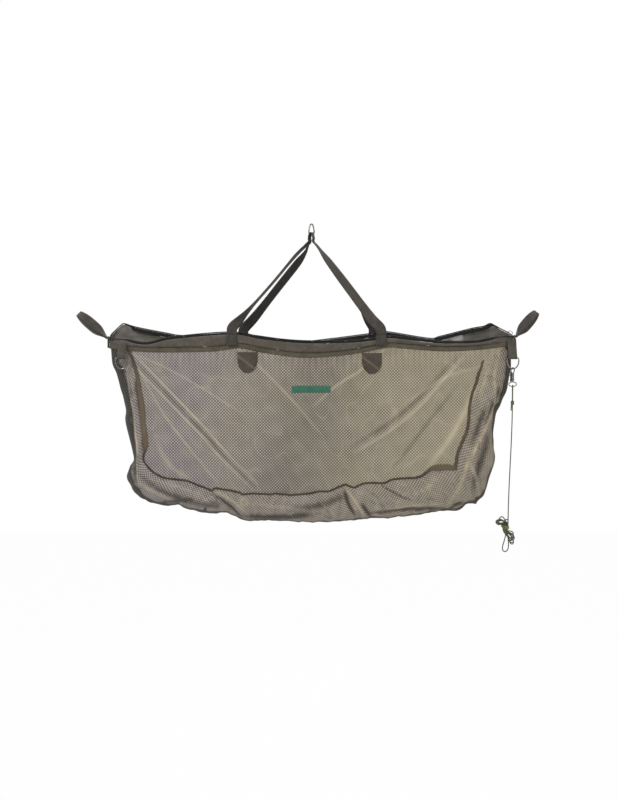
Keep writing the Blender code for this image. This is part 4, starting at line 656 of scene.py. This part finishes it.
def make_floor():
    """A plain pale floor well below the hung sling, which the camera sees nearly white."""
    made = bpy.data.materials.new("pale_floor")
    made.use_nodes = True
    tree = made.node_tree
    tree.nodes.clear()
    ray = add(tree, "ShaderNodeLightPath", gives="Is Camera Ray")
    matt = add(tree, "ShaderNodeBsdfDiffuse", {"Color": [0.92, 0.92, 0.92, 1.0]})
    white = add(tree, "ShaderNodeEmission", {"Color": "FFFFFF"})
    seen = add(tree, "ShaderNodeMapRange", {0: ray, 4: 0.975})
    both = add(tree, "ShaderNodeMixShader", {0: seen, 1: matt, 2: white})
    add(tree, "ShaderNodeOutputMaterial", {0: both}, None)
    x, y = np.meshgrid([-6.0, 6.0], [-6.0, 6.0], indexing="xy")
    surface("floor", np.stack([x, y, np.full_like(x, FLOOR_Z)], -1)[::-1], made)


bpy.context.scene.view_settings.view_transform = "Standard"
make_camera()
make_light()
make_floor()


# The netting bag
def stations(side_steps, bottom_steps):
    """The front seam, the outline and half the gusset's width, at matched steps round the bag."""
    def joined(left, bottom, right):
        return np.vstack([smooth_line(left, side_steps + 1), smooth_line(bottom, bottom_steps + 1)[1:],
                          smooth_line(right, side_steps + 1)[::-1][1:]])

    seam = joined(LEFT_SEAM, BOTTOM_SEAM, RIGHT_SEAM)
    outline = joined(LEFT_OUTLINE, BOTTOM_OUTLINE, RIGHT_OUTLINE)
    step = np.arange(len(seam))
    down = np.minimum(step, step[::-1]) / side_steps
    half = SEAM_HALF_TOP + (SEAM_HALF - SEAM_HALF_TOP) * np.sin(np.clip(down, 0, 1) * math.pi / 2)
    return seam, outline, half


def inward_of(seam, outline):
    """Directions square to the seam, pointing into the panel."""
    along = np.gradient(seam, axis=0)
    along /= np.linalg.norm(along, axis=1)[:, None]
    square = np.stack([along[:, 1], -along[:, 0]], axis=1)
    return square * np.sign((square * (seam - outline)).sum(axis=1))[:, None]


def from_ends(share, times):
    """From 0 at both ends of a share to 1, which it reaches one times-th of the way in."""
    return np.clip(np.minimum(share, 1 - share) * times, 0, 1)


def collar_depth(side, x):
    """Depth of a collar's middle at the places x."""
    return side * (lip_gap(x) + COLLAR_THICK / 2)


def panel_net(name, side, hem, folds, seed, material):
    """A main panel: a Coons patch between collar and seam, y = side * (depth + folds + soft waves)."""
    seam, outline, half = stations(PANEL_ROWS, PANEL_COLS)
    edge = seam + inward_of(seam, outline) * (PIPING / 2 - 0.001)
    border = np.stack([edge[:, 0], side * half, edge[:, 1]], axis=1)
    left, right = border[:PANEL_ROWS + 1], border[::-1][:PANEL_ROWS + 1]
    bottom = border[PANEL_ROWS:PANEL_ROWS + PANEL_COLS + 1]
    x = np.linspace(-PANEL_END, PANEL_END, PANEL_COLS + 1)
    top = np.stack([x, collar_depth(side, x), height_at(hem, x) + 0.002], axis=1)
    meet = (1 - np.linspace(0, 1, PANEL_ROWS + 1))[:, None] ** 3
    left = left + (top[0] - left[0]) * meet
    right = right + (top[-1] - right[0]) * meet
    u = np.linspace(0, 1, PANEL_COLS + 1)[None, :, None]
    v = np.linspace(0, 1, PANEL_ROWS + 1)[:, None, None]
    corners = (1 - v) * ((1 - u) * top[0] + u * top[-1]) + v * ((1 - u) * bottom[0] + u * bottom[-1])
    grid = (1 - v) * top[None] + v * bottom[None] + (1 - u) * left[:, None] + u * right[:, None] - corners
    x, z = grid[..., 0], grid[..., 2]
    out, tint = fold_field(x, z, folds)
    pleats = np.sin(math.tau * (x / 0.017 + 0.4 * waves(x, z, seed + 2, 0.09)))
    gather = np.exp(-(v[..., 0] * 0.42 / 0.035)) * pleats
    out = out + 0.0022 * waves(x, z, seed, 0.16) + 0.0011 * waves(x, z, seed + 1, 0.055) + 0.0009 * gather
    near = np.minimum(from_ends(u, 14), from_ends(v, 9))[..., 0]
    grid[..., 1] += side * out * near * near * (3 - 2 * near)
    # painted highlight on the gathered pleats' ridges and along thin creases, over random tone
    tint = tint + 0.16 * gather + 0.06 * waves(x, z, seed + 3, 0.05) + 0.24 * wrinkles(x, z, seed + 4, 0.11)
    # painted shade in a broad slanted band through the middle, and paler towards the right
    tint = tint - 0.20 * np.exp(-((x - 0.02 - 0.3 * (z + 0.5)) / 0.13) ** 2) + 0.08 * np.clip(x / 0.4, 0, 1)
    return surface(name, grid, material, uv=np.stack([x, z], axis=-1), tint=tint, flip=side > 0)


def gusset_net(name, material):
    """The strip round the sides and bottom: half ellipses from seam to seam, with soft folds.

    At the angle t it lies at seam + (outline - seam) * sin(t), y = -half * cos(t).
    """
    seam, outline, half = stations(GUSSET_SIDE, GUSSET_BOTTOM)
    outward = -inward_of(seam, outline)
    reach = ((outline - seam) * outward).sum(axis=1)
    share = np.linspace(0, 1, GUSSET_ACROSS + 1)
    way = np.linspace(0, 1, len(seam))
    start = np.arcsin(0.0012 / reach)
    angle = start[:, None] + (math.pi - 2 * start[:, None]) * share[None, :]
    swing = np.sin(angle)
    flat = seam[:, None, :] + (outline - seam)[:, None, :] * swing[..., None]
    depth = -half[:, None] * np.cos(angle)
    grid = np.stack([flat[..., 0], depth, flat[..., 1]], axis=-1)
    x, z = grid[..., 0], grid[..., 2]
    out, tint = fold_field(x, z, GUSSET_FOLDS)
    rear = depth > 0
    out = np.where(rear, 0.5 * out[:, ::-1], out)
    # the folds' painted shade is drawn stronger than their painted light, and fainter on the rear half
    tint = np.where(rear, 0.5, np.where(tint < 0, 1.7, 1.1)) * tint
    ends = from_ends(way, (len(seam) - 1) / 25)[:, None]
    out = out + 0.0030 * waves(x, z + depth, 31, 0.10) + 0.0012 * waves(x + depth, z, 32, 0.04)
    face = np.sign(depth) * np.clip(np.abs(depth) / 0.02, 0, 1)
    grid[..., 1] += face * out * from_ends(share, 9) * ends
    lump = (0.0022 * waves(x, z, 33, 0.07) + 0.0012 * waves(x, z, 34, 0.028)) * swing ** 4 * ends
    grid[..., ::2] += outward[:, None] * lump[..., None]
    wide = np.interp(way, *zip(*RIM_WIDTHS))[:, None] * (1 + 0.25 * waves(x, z, 36, 0.04))
    edge = np.clip((wide - reach[:, None] * (1 - swing)) / (0.25 * wide), 0, 1)
    # painted highlight and painted shade along thin wandering creases
    tint = tint + 0.45 * wrinkles(x, z, 37, 0.07) - 0.48 * wrinkles(x, z, 38, 0.08)
    tint = tint + 0.08 * waves(x, z, 35, 0.05)
    # painted shade along the outer edge, where the gusset turns away from the light
    tint = np.clip(tint, -0.70, 1) * (1 - edge) - 0.95 * edge
    around = np.pad(np.linalg.norm(np.diff(grid, axis=1), axis=2).cumsum(axis=1), ((0, 0), (1, 0)))
    uv = np.stack(np.broadcast_arrays(run_length(seam)[:, None], around), axis=-1)
    return surface(name, grid, material, uv=uv, tint=tint)


def seam_cord(name, side):
    """Bound seam between a panel and the gusset: a flat wavy roll of doubled cloth."""
    seam, outline, half = stations(GUSSET_SIDE, GUSSET_BOTTOM)
    inward = inward_of(seam, outline)
    x, z = seam.T
    waver = 0.0011 * waves(x, z, 41 + side, 0.03)
    path = np.stack([x + inward[:, 0] * waver, side * (half + 0.0006), z + inward[:, 1] * waver], axis=1)
    across = np.stack([inward[:, 0], 0 * x, inward[:, 1]], axis=1)
    width = np.interp(np.linspace(0, 1, len(seam)), *zip(*SEAM_WIDTHS))
    width = width + 0.0008 * waves(x, z, 43 + side, 0.05)
    tint = np.clip((width - 0.007) / 0.009, 0, 0.8) + 0.15 * waves(x, z, 45 + side, 0.03)
    return band(name, path[2:-2], across[2:-2], width[2:-2], BINDING_THICK, BINDING, tint=tint[2:-2])


# The mouth: collars, tapes, hoods and zip
def collar_line(edge, hem, tape, reach):
    """Places along the mouth, with a collar's top and bottom heights there."""
    x = np.linspace(-reach, reach, 420)
    top = height_at(edge, x) - tape - GAP
    return x, top, np.minimum(height_at(hem, x) + HEM + GAP, top - 0.006)


def collar_sleeve(name, side, edge, hem, tape, reach, seed, material):
    """Cloth over the float: a flattened oval carried along the lip, |a|^4 + |b|^4 = 1, with puckers."""
    x, top, bottom = collar_line(edge, hem, tape, reach)
    fill = np.clip((1 - np.abs(x) / reach) * 6, 0, 1)
    thick = COLLAR_END + (COLLAR_THICK - COLLAR_END) * np.sin(fill * math.pi / 2)
    t = np.linspace(0, math.tau, 36, endpoint=False)[None]
    a, b = (np.sign(part) * np.abs(part) ** 0.5 for part in (np.cos(t), np.sin(t)))
    z = ((top + bottom) / 2)[:, None] + b * (top - bottom)[:, None] / 2
    xs = np.broadcast_to(x[:, None], z.shape)
    near = np.exp(-((b + 1) / 0.30) ** 2) + np.exp(-((1 - b) / 0.30) ** 2)
    pucker = np.sin(math.tau * (xs / 0.012 + 0.6 * waves(xs, z, seed, 0.06))) * near
    swell = 0.0009 * waves(xs, z, seed + 1, 0.08) + 0.0006 * waves(xs, z, seed + 2, 0.025) + 0.0004 * pucker
    y = collar_depth(side, x)[:, None] + a * (thick[:, None] / 2 + swell - 0.0004)
    # painted highlight on the puckers' crests and painted shade between them, over random tone; faint on the rear
    # collar
    tint = (0.10 * pucker + 0.14 * waves(xs, z * 2, seed + 3, 0.09)) * (1.0 if side < 0 else 0.3)
    if side > 0:
        bleached = np.clip(waves(xs, z * 2, seed + 4, 0.05) + 0.9, 0, 1) * (a < 0)
        tint = tint + 0.75 * np.exp(-((xs - BLEACHED_X) / 0.045) ** 2) * bleached
    uv = np.stack(np.broadcast_arrays(x[:, None], np.linspace(0, 0.08, 37)[None]), -1)
    return surface(name, np.stack([xs, y, z], axis=-1), material, uv=uv, tint=tint, wrap=True, caps=True)


def hem_band(name, side, edge, hem, tape, reach, seed):
    """Lower band of a collar: a flat tape, gathered where it is sewn on, paler in patches of wear."""
    x, _, bottom = collar_line(edge, hem, tape, reach)
    top, low = bottom - 2 * GAP, height_at(hem, x)
    z = (top + low) / 2
    gather = side * 0.0005 * np.sin(math.tau * (x / 0.013 + 0.5 * waves(x, z, seed, 0.07)))
    path = np.stack([x, collar_depth(side, x) + gather, z], axis=1)
    return band(name, path, np.tile([0.0, 0.0, 1.0], (len(x), 1)), top - low, HEM_THICK, HEM_TAPE)


def lip_line(side, edge):
    """The coil's line along one lip."""
    x = np.linspace(-MOUTH_END + 0.002, MOUTH_END - 0.002, 620)
    return np.stack([x, lip_place(side, x), height_at(edge, x)], axis=1)


def tape_band(name, side, edge, width):
    """Zip tape: it stands on its collar and turns flat at the mouth's ends."""
    line = lip_line(side, edge)
    flat = np.clip((np.abs(line[:, 0]) - (MOUTH_END - 0.080)) / 0.040, 0, 1) * math.pi / 2
    down = np.stack([0 * flat, side * np.sin(flat), -np.cos(flat)], axis=1)
    wide = width - COIL / 2 - 2 * GAP
    path = line + down * (COIL / 2 + GAP + wide / 2)
    path[:, 1] += 0.0005 * waves(line[:, 0], line[:, 2], 51 + side, 0.03)
    return band(name, path, down, wide, TAPE, ZIP_TAPE)


def hood(name, end, seed):
    """Smooth coated cloth at one end of the rear lip, slack and softly creased."""
    x = np.linspace(HOOD_FROM - 0.004, MOUTH_END - 0.001, 90) * end
    top = height_at(REAR_EDGE, x) - 0.003
    bottom = np.minimum(height_at(REAR_HEM, x), top - 0.012)
    share = np.linspace(0, 1, 30)[:, None]
    belly = np.sin(share * math.pi)
    z = top[None] * (1 - share) + bottom[None] * share
    xs = np.broadcast_to(x, z.shape)
    slack = 0.006 * belly * np.clip((np.abs(x) - HOOD_FROM) / 0.03, 0, 1) + 0.0032
    y = collar_depth(1, x)[None] * share + lip_place(1, x)[None] * (1 - share) + slack
    y = y + 0.0012 * waves(xs, z * 2, seed, 0.05) * belly
    made = surface(name, np.stack([xs, y, z], axis=-1), HOOD, uv=np.stack([xs, z], axis=-1),
                   tint=0.35 * waves(xs, z * 2, seed + 1, 0.06), flip=end > 0)
    return thickened(made, HOOD_THICK)


# Webbing
def strap_path(side, feet, legs, apex, turn, twists):
    """Path, direction across and width of a carry strap, whose legs gather and twist as they rise.

    Twists holds, for its left and its right leg, shares of the rise and degrees from lying flat.
    """
    loop = [(-APEX_HALF * 0.95, -0.050), (-APEX_HALF, -0.040), (-APEX_HALF * 0.8, -0.0315)]
    crown = apex[2] + RING_WIRE / 2 + 2 * GAP + WEBBING / 2
    lifted = loop + [(-APEX_HALF * 0.38, crown - 0.0016), (0.0, crown), (APEX_HALF * 0.38, crown - 0.0016)]
    lifted += [(-a, z) for a, z in reversed(loop)]
    top = [(apex[0] + a * math.cos(turn), apex[1] - a * math.sin(turn), z) for a, z in lifted]
    ends = [[(foot, side * STRAP_Y, HINGE_Z + 2 * GAP + h) for h in (0.0, 0.005, 0.010)] for foot in feet]
    middle = smooth_spans([ends[0][2], *legs[0], *top, *legs[1][::-1], ends[1][2]], 14)
    path = np.vstack([ends[0][:2], middle, ends[1][1::-1]])
    rise = np.clip((path[:, 2] - HINGE_Z) / (apex[2] - HINGE_Z), 0, 1)
    gathered = np.clip((rise - 0.72) / 0.16, 0, 1)
    width = STRAP_WIDTH + (APEX_WIDTH - STRAP_WIDTH) * gathered ** 2 * (3 - 2 * gathered)
    angle = np.where(path[:, 0] < apex[0], *(np.interp(rise, *zip(*twist)) for twist in twists))
    angle = np.radians(np.convolve(np.pad(angle, 4, mode="edge"), np.ones(9) / 9, mode="valid"))
    return path, np.stack([np.cos(angle), np.sin(angle), 0 * angle], axis=1), width


def foot_band(name, side, x, material):
    """The sewn end of a carry strap, flat on its collar."""
    widest = lip_gap(np.linspace(x - STRAP_WIDTH / 2, x + STRAP_WIDTH / 2, 5)).max()
    face = side * (widest + COLLAR_THICK + GAP + WEBBING / 2)
    top = HINGE_Z - GAP
    path = smooth_spans([(x, face, top - 0.030), (x, face, top - 0.010), (x, side * STRAP_Y, top)], 10)
    return band(name, path, np.tile([1.0, 0.0, 0.0], (len(path), 1)), STRAP_WIDTH, WEBBING, material)


def end_loop(name, end, foot, rise, reach):
    """A short webbing loop that points up and outwards from one end of the mouth."""
    half = [(0.0, WEBBING / 2 + GAP)] + [(a * reach, n * LOOP_HALF) for a, n in LOOP_SHAPE]
    flat = smooth_line(half + [(a, -n) for a, n in reversed(half[:-1])], 121)
    share = flat[:, 0] / reach
    out = np.array([end * math.cos(rise), 0.0, math.sin(rise)])
    level = np.array([-end * math.sin(rise), 0.0, math.cos(rise)])
    tilt = np.radians(90 - 54 * np.clip((share - 0.06) / 0.40, 0, 1))[:, None]
    apart = level * np.sin(tilt) + np.array([0.0, -1.0, 0.0]) * np.cos(tilt)
    root = np.array([end * (MOUTH_END + 3 * GAP + 2 * WEBBING), 0.0, foot])
    tip = np.clip((share - 0.62) / 0.38, 0, 1)
    # painted highlight on one half of the loop and on its tip, painted shade on the other half
    return band(name, root + out * flat[:, :1] + apart * flat[:, 1:], np.cross(out, apart),
                STRAP_WIDTH * (1 - 0.36 * tip ** 2), WEBBING, LOOP,
                tint=np.where(flat[:, 1] < 0, 0.55, -0.1) + 0.3 * tip)


# Patches and label
def lie_on(net, x, z, lift):
    """Depth of the netting at the places x and z, from its nearest points, and a little outside it."""
    points = points_of(net)
    points = points[(np.abs(points[:, 0] - (x.min() + x.max()) / 2) < np.ptp(x) / 2 + 0.02)
                    & (np.abs(points[:, 2] - (z.min() + z.max()) / 2) < np.ptp(z) / 2 + 0.02)]
    far = (x.reshape(-1, 1) - points[:, 0]) ** 2 + (z.reshape(-1, 1) - points[:, 2]) ** 2
    near = np.argpartition(far, 5, axis=1)[:, :5]
    weight = 1 / (np.take_along_axis(far, near, 1) + 1e-7)
    depth = (points[near, 1] * weight).sum(axis=1) / weight.sum(axis=1)
    return (depth + np.sign(depth) * lift).reshape(x.shape)


def strap_patch(name, net, side, hem, middle, seed):
    """A round-ended reinforcement that lies on the netting below a strap's foot."""
    half, drop = 0.029, 0.060
    u, v = np.linspace(-1, 1, 41)[None, :], np.linspace(0, 1, 33)[:, None]
    top = height_at(hem, np.linspace(middle - half, middle + half, 5)).min() - 4 * GAP
    x = middle + half * u * np.sqrt(1 - np.clip((v - 0.35) / 0.66, 0, 1) ** 2)
    z = top - drop * v + 0 * u
    crease = np.exp(-(((x - middle) * 0.75 + (z - top + 0.032)) / 0.0040) ** 2)
    y = lie_on(net, x, z, PATCH_LIFT) + side * 0.0012 * crease
    # painted highlight along the crease's ridge, over random tone
    made = surface(name, np.stack([x, y, z], axis=-1), PATCH, uv=np.stack([x, z], axis=-1),
                   tint=0.75 * crease + 0.12 * waves(x, z, seed, 0.02), flip=side < 0)
    return thickened(made, PATCH_THICK)


def bare_label(net):
    """The woven label, sewn on along its edges, which lie a little lower than its middle."""
    middle, half_wide, half_tall = (-0.001, -0.481), 0.0565, 0.010
    x, z = np.meshgrid(middle[0] + np.linspace(-half_wide, half_wide, 119),
                       middle[1] + np.linspace(-half_tall, half_tall, 25))
    rim = np.minimum(half_wide - np.abs(x - middle[0]), half_tall - np.abs(z - middle[1]))
    y = lie_on(net, x, z, LABEL_LIFT) - 0.0006 * np.clip(rim / 0.003, 0, 1)
    z = z + 0.0012 * np.sin((x + 0.06) / 0.12 * math.pi) + 0.0004 * waves(x, z, 71, 0.04)
    made = surface("label_cloth", np.stack([x, y, z], axis=-1), LABEL, uv=np.stack([x, z], axis=-1),
                   tint=np.exp(-(rim / 0.0011) ** 2) * 0.5)
    return thickened(made, LABEL_THICK)


# The retaining cord
def line_path():
    """The hanging line, from the knot down to the hank; it drifts a little to the left."""
    share = np.linspace(0, 1, 30)
    top = KNOT_TOP - KNOT_TALL - GAP
    drift = LINE_LEAN * share ** 2 * (3 - 2 * share)
    return np.stack([HOOK[0] + drift, np.full_like(share, HOOK[1]), top + (LINE_END - top) * share], axis=1)


def lobe(sign, reach, wide, first, last):
    """One end of a loop: a teardrop about a middle line that leans by the first angle, then by the last.

    Its half width is wide * cos(t) * sin(t)^2 / 0.385, because 0.385 is the most that cos * sin^2 reaches.
    """
    waist, turn = PITCH / 2, np.linspace(0, math.pi, 31)
    out = np.sin(turn)
    half = np.cos(turn) * (waist + (wide - 0.6 * waist) / 0.385 * out ** 2)
    along = np.linspace(0, 1, 60)
    lean = np.radians(first * np.clip(along / LEAN_SHARE, 0, 1)
                      + (last - first) * np.clip((along - LEAN_SHARE) / (1 - LEAN_SHARE), 0, 1))
    middle = np.stack([np.cumsum(np.sin(lean)), np.cumsum(np.cos(lean))]) * (reach - HANK_NECK) / len(along)
    at = np.interp(out, along, lean)
    across, away = (np.interp(out, along, line - line[0]) for line in middle)
    return np.stack([across + half * np.cos(at), sign * (HANK_NECK + away - half * np.sin(at))], axis=1)


def hank_path():
    """The hank's one strand: loops side by side, drawn in at the waist, fanned out below and above."""
    waist, last = PITCH / 2, (len(LOWER_LOOPS) + 1) * PITCH
    places = [(waist, 0.0, LINE_END - GAP - WAIST_Z), (waist, 0.0, HANK_NECK)]
    for k, (low, high) in enumerate(zip(LOWER_LOOPS, UPPER_LOOPS), 1):
        places.append((waist, k * PITCH - waist, 0.0))
        places += [(a, k * PITCH, z) for a, z in [*lobe(-1, *low), *lobe(1, *high)[::-1]]]
    places += [(waist, last - waist, 0.0), (waist, last, -HANK_NECK), (waist, last, -HANK_NECK - 1.5 * CORD)]
    across, depth, z = np.array(places).T
    across = across - waist
    cosine, sine = math.cos(HANK_TURN), math.sin(HANK_TURN)
    x, y, _ = line_path()[-1]
    return np.stack([x + across * cosine - depth * sine, y + across * sine + depth * cosine, WAIST_Z + z], 1)


def eased(path, step, passes):
    """The same line at even steps, with its sharpest bends eased; its ends stay where they are."""
    path = respaced(path, int(run_length(path)[-1] / step))
    for _ in range(passes):
        path[1:-1] = (path[:-2] + 2 * path[1:-1] + path[2:]) / 4
    return path


def cord_paths():
    """The cord from the eye through the knot and down the line to the hank's end, and its way back."""
    x, y, _ = HOOK
    bend, close = EYE_WIRE / 2 + GAP + CORD / 2, CORD / 2 + GAP
    turn = np.linspace(0, math.pi / 2, 9)
    arch = np.stack([-bend * np.sin(turn), EYE_LOW + bend * np.cos(turn)], axis=1)
    side = smooth_spans([arch[-1], (-bend * 0.95, EYE_LOW - 0.010), (-close * 1.1, KNOT_TOP + 0.012),
                         (-close, KNOT_TOP + CORD), (-close, KNOT_TOP), (-close * 0.6, KNOT_TOP - 0.006),
                         (0.0, KNOT_TOP - KNOT_TALL - GAP)], 6)
    out, z = np.vstack([arch[:-1], side]).T
    front, back = (np.stack([np.full(len(z), x), y + way * out, z], axis=1) for way in (1, -1))
    tail = [(x - 0.0032 - 0.3 * d ** 1.5, y, KNOT_TOP - KNOT_TALL - d) for d in TAIL_DROPS]
    forward = np.vstack([front[:-1], line_path(), eased(smooth_spans(hank_path(), 2)[1:], 0.0012, 14)])
    return forward, np.vstack([back[:-2], smooth_spans(tail, 3)])


# Putting it together
def hang_sheet(net, rows):
    """Read a piece of netting's points as rows and columns; nothing else is done with them."""
    points = points_of(net).reshape(rows, -1, 3)


def keep(names, material):
    """CAD nodes that stay as they are, with a finish."""
    for name in names:
        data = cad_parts[name].data
        data.materials.clear()
        data.materials.append(material)


def sewn(made, slot, *nodes, body="bag"):
    """A piece that moves with a body and stands for CAD nodes, which it hides. Its slot is not used."""
    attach(made, body)
    if nodes:
        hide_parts(*nodes)
    return made


forward, backward = cord_paths()
retention = sewn(tube("retention_cord", forward, CORD / 2, CORD_BRAID), "cord_green", "cord_loop",
                 "cord_line", "cord_hank", body="swivel_and_cord")
returned = sewn(tube("cord_return", backward, CORD / 2, CORD_BRAID), "cord_green", "cord_tail",
                body="swivel_and_cord")

front_net = sewn(panel_net("front_net", -1, FRONT_HEM, PANEL_FOLDS, 11, NET), "netting", "front_panel")
rear_net = sewn(panel_net("rear_net", 1, REAR_HEM, REAR_FOLDS, 21, NET_REAR), "netting", "rear_panel")
gusset_piece = sewn(gusset_net("gusset_net", NET_GUSSET), "gusset_netting", "gusset")
for word, side, edge, hem, tape, reach, cloth, slot, tapes in (
        ("front", -1, FRONT_EDGE, FRONT_HEM, FRONT_TAPE, MOUTH_END - 0.004, COLLAR, "collar_cloth",
         ["front_zip_tape_left", "front_zip_tape_right"]),
        ("rear", 1, REAR_EDGE, REAR_HEM, REAR_TAPE, HOOD_FROM - GAP, REAR_COLLAR, "rear_collar_cloth",
         ["rear_zip_tape"])):
    sewn(seam_cord(word + "_seam", side), "piping", word + "_seam_binding")
    sleeve = collar_sleeve(word + "_sleeve", side, edge, hem, tape, reach, 61 + side, cloth)
    sewn(sleeve, slot, word + "_collar")
    sewn(hem_band(word + "_hem", side, edge, hem, tape, reach, 65 + side), "hem_tape", word + "_hem_tape")
    sewn(tape_band(word + "_tape", side, edge, tape), "zip_tape", *tapes)
    coil = tube(word + "_coil", lip_line(side, edge), COIL / 2, ZIP_COIL, sides=10)
    sewn(coil, "zip_coil", word + "_zip_coil")
for word, end in (("left", -1), ("right", 1)):
    sewn(hood(word + "_hood", end, 81 + end), "hood_cloth", word + "_end_hood")
for word, side, net, hem, feet, middles, strap in (
        ("front", -1, front_net, FRONT_HEM, FRONT_FEET, FRONT_PATCHES, STRAP),
        ("rear", 1, rear_net, REAR_HEM, REAR_FEET, REAR_PATCHES, STRAP_SHADED)):
    for seed, (place, foot, middle) in enumerate(zip(("left", "right"), feet, middles), 90):
        start = f"{word}_{place}"
        patch = strap_patch(start + "_patch_cloth", net, side, hem, middle, seed)
        sewn(patch, "patch_cloth", start + "_patch")
        sewn(foot_band(start + "_foot", side, foot, strap), "strap_webbing", start + "_strap_foot")
sewn(bare_label(front_net), "label_green", "label")

for net, rows, hung in ((front_net, PANEL_ROWS + 1, "front_hem"), (rear_net, PANEL_ROWS + 1, "rear_hem"),
                        (gusset_piece, 2 * GUSSET_SIDE + GUSSET_BOTTOM + 1, "front_hem")):
    hang_sheet(net, rows)

for word, side, feet, legs, apex, turn, twists, strap in (
        ("front", -1, FRONT_FEET, FRONT_LEGS, (0.0, 0.0, APEX_Z), math.radians(45), FRONT_TWISTS, STRAP),
        ("rear", 1, REAR_FEET, REAR_LEGS, (0.0, 0.024, APEX_Z), 0.0, REAR_TWISTS, STRAP_SHADED)):
    path, across, width = strap_path(side, feet, legs, apex, turn, twists)
    sewn(band(word + "_strap_webbing", path, across, width, WEBBING, strap), "strap_webbing",
         word + "_handle", body=word + "_strap")
for word, end, foot, rise, reach in (("left", -1, -0.334, math.radians(41), 0.112),
                                     ("right", 1, -0.330, math.radians(50), 0.096)):
    sewn(end_loop(word + "_loop_webbing", end, foot, rise, reach), "handle_webbing", word + "_end_handle",
         body=word + "_loop")

for material, *names in (
        (STEEL, "hanging_ring", "left_d_ring", "right_d_ring", "snap_hook", "snap_eye", "zip_slider",
         "zip_pull"), (LEVER, "snap_trigger"), (LOOP, "left_end_patch", "right_end_patch"),
        (TAB, "left_ring_tab", "right_ring_tab"), (CORD_BRAID, "cord_knot"), (TIE_BRAID_BACKLIT, "cord_tie"),
        (FOAM, "front_float", "rear_float")):
    keep(names, material)
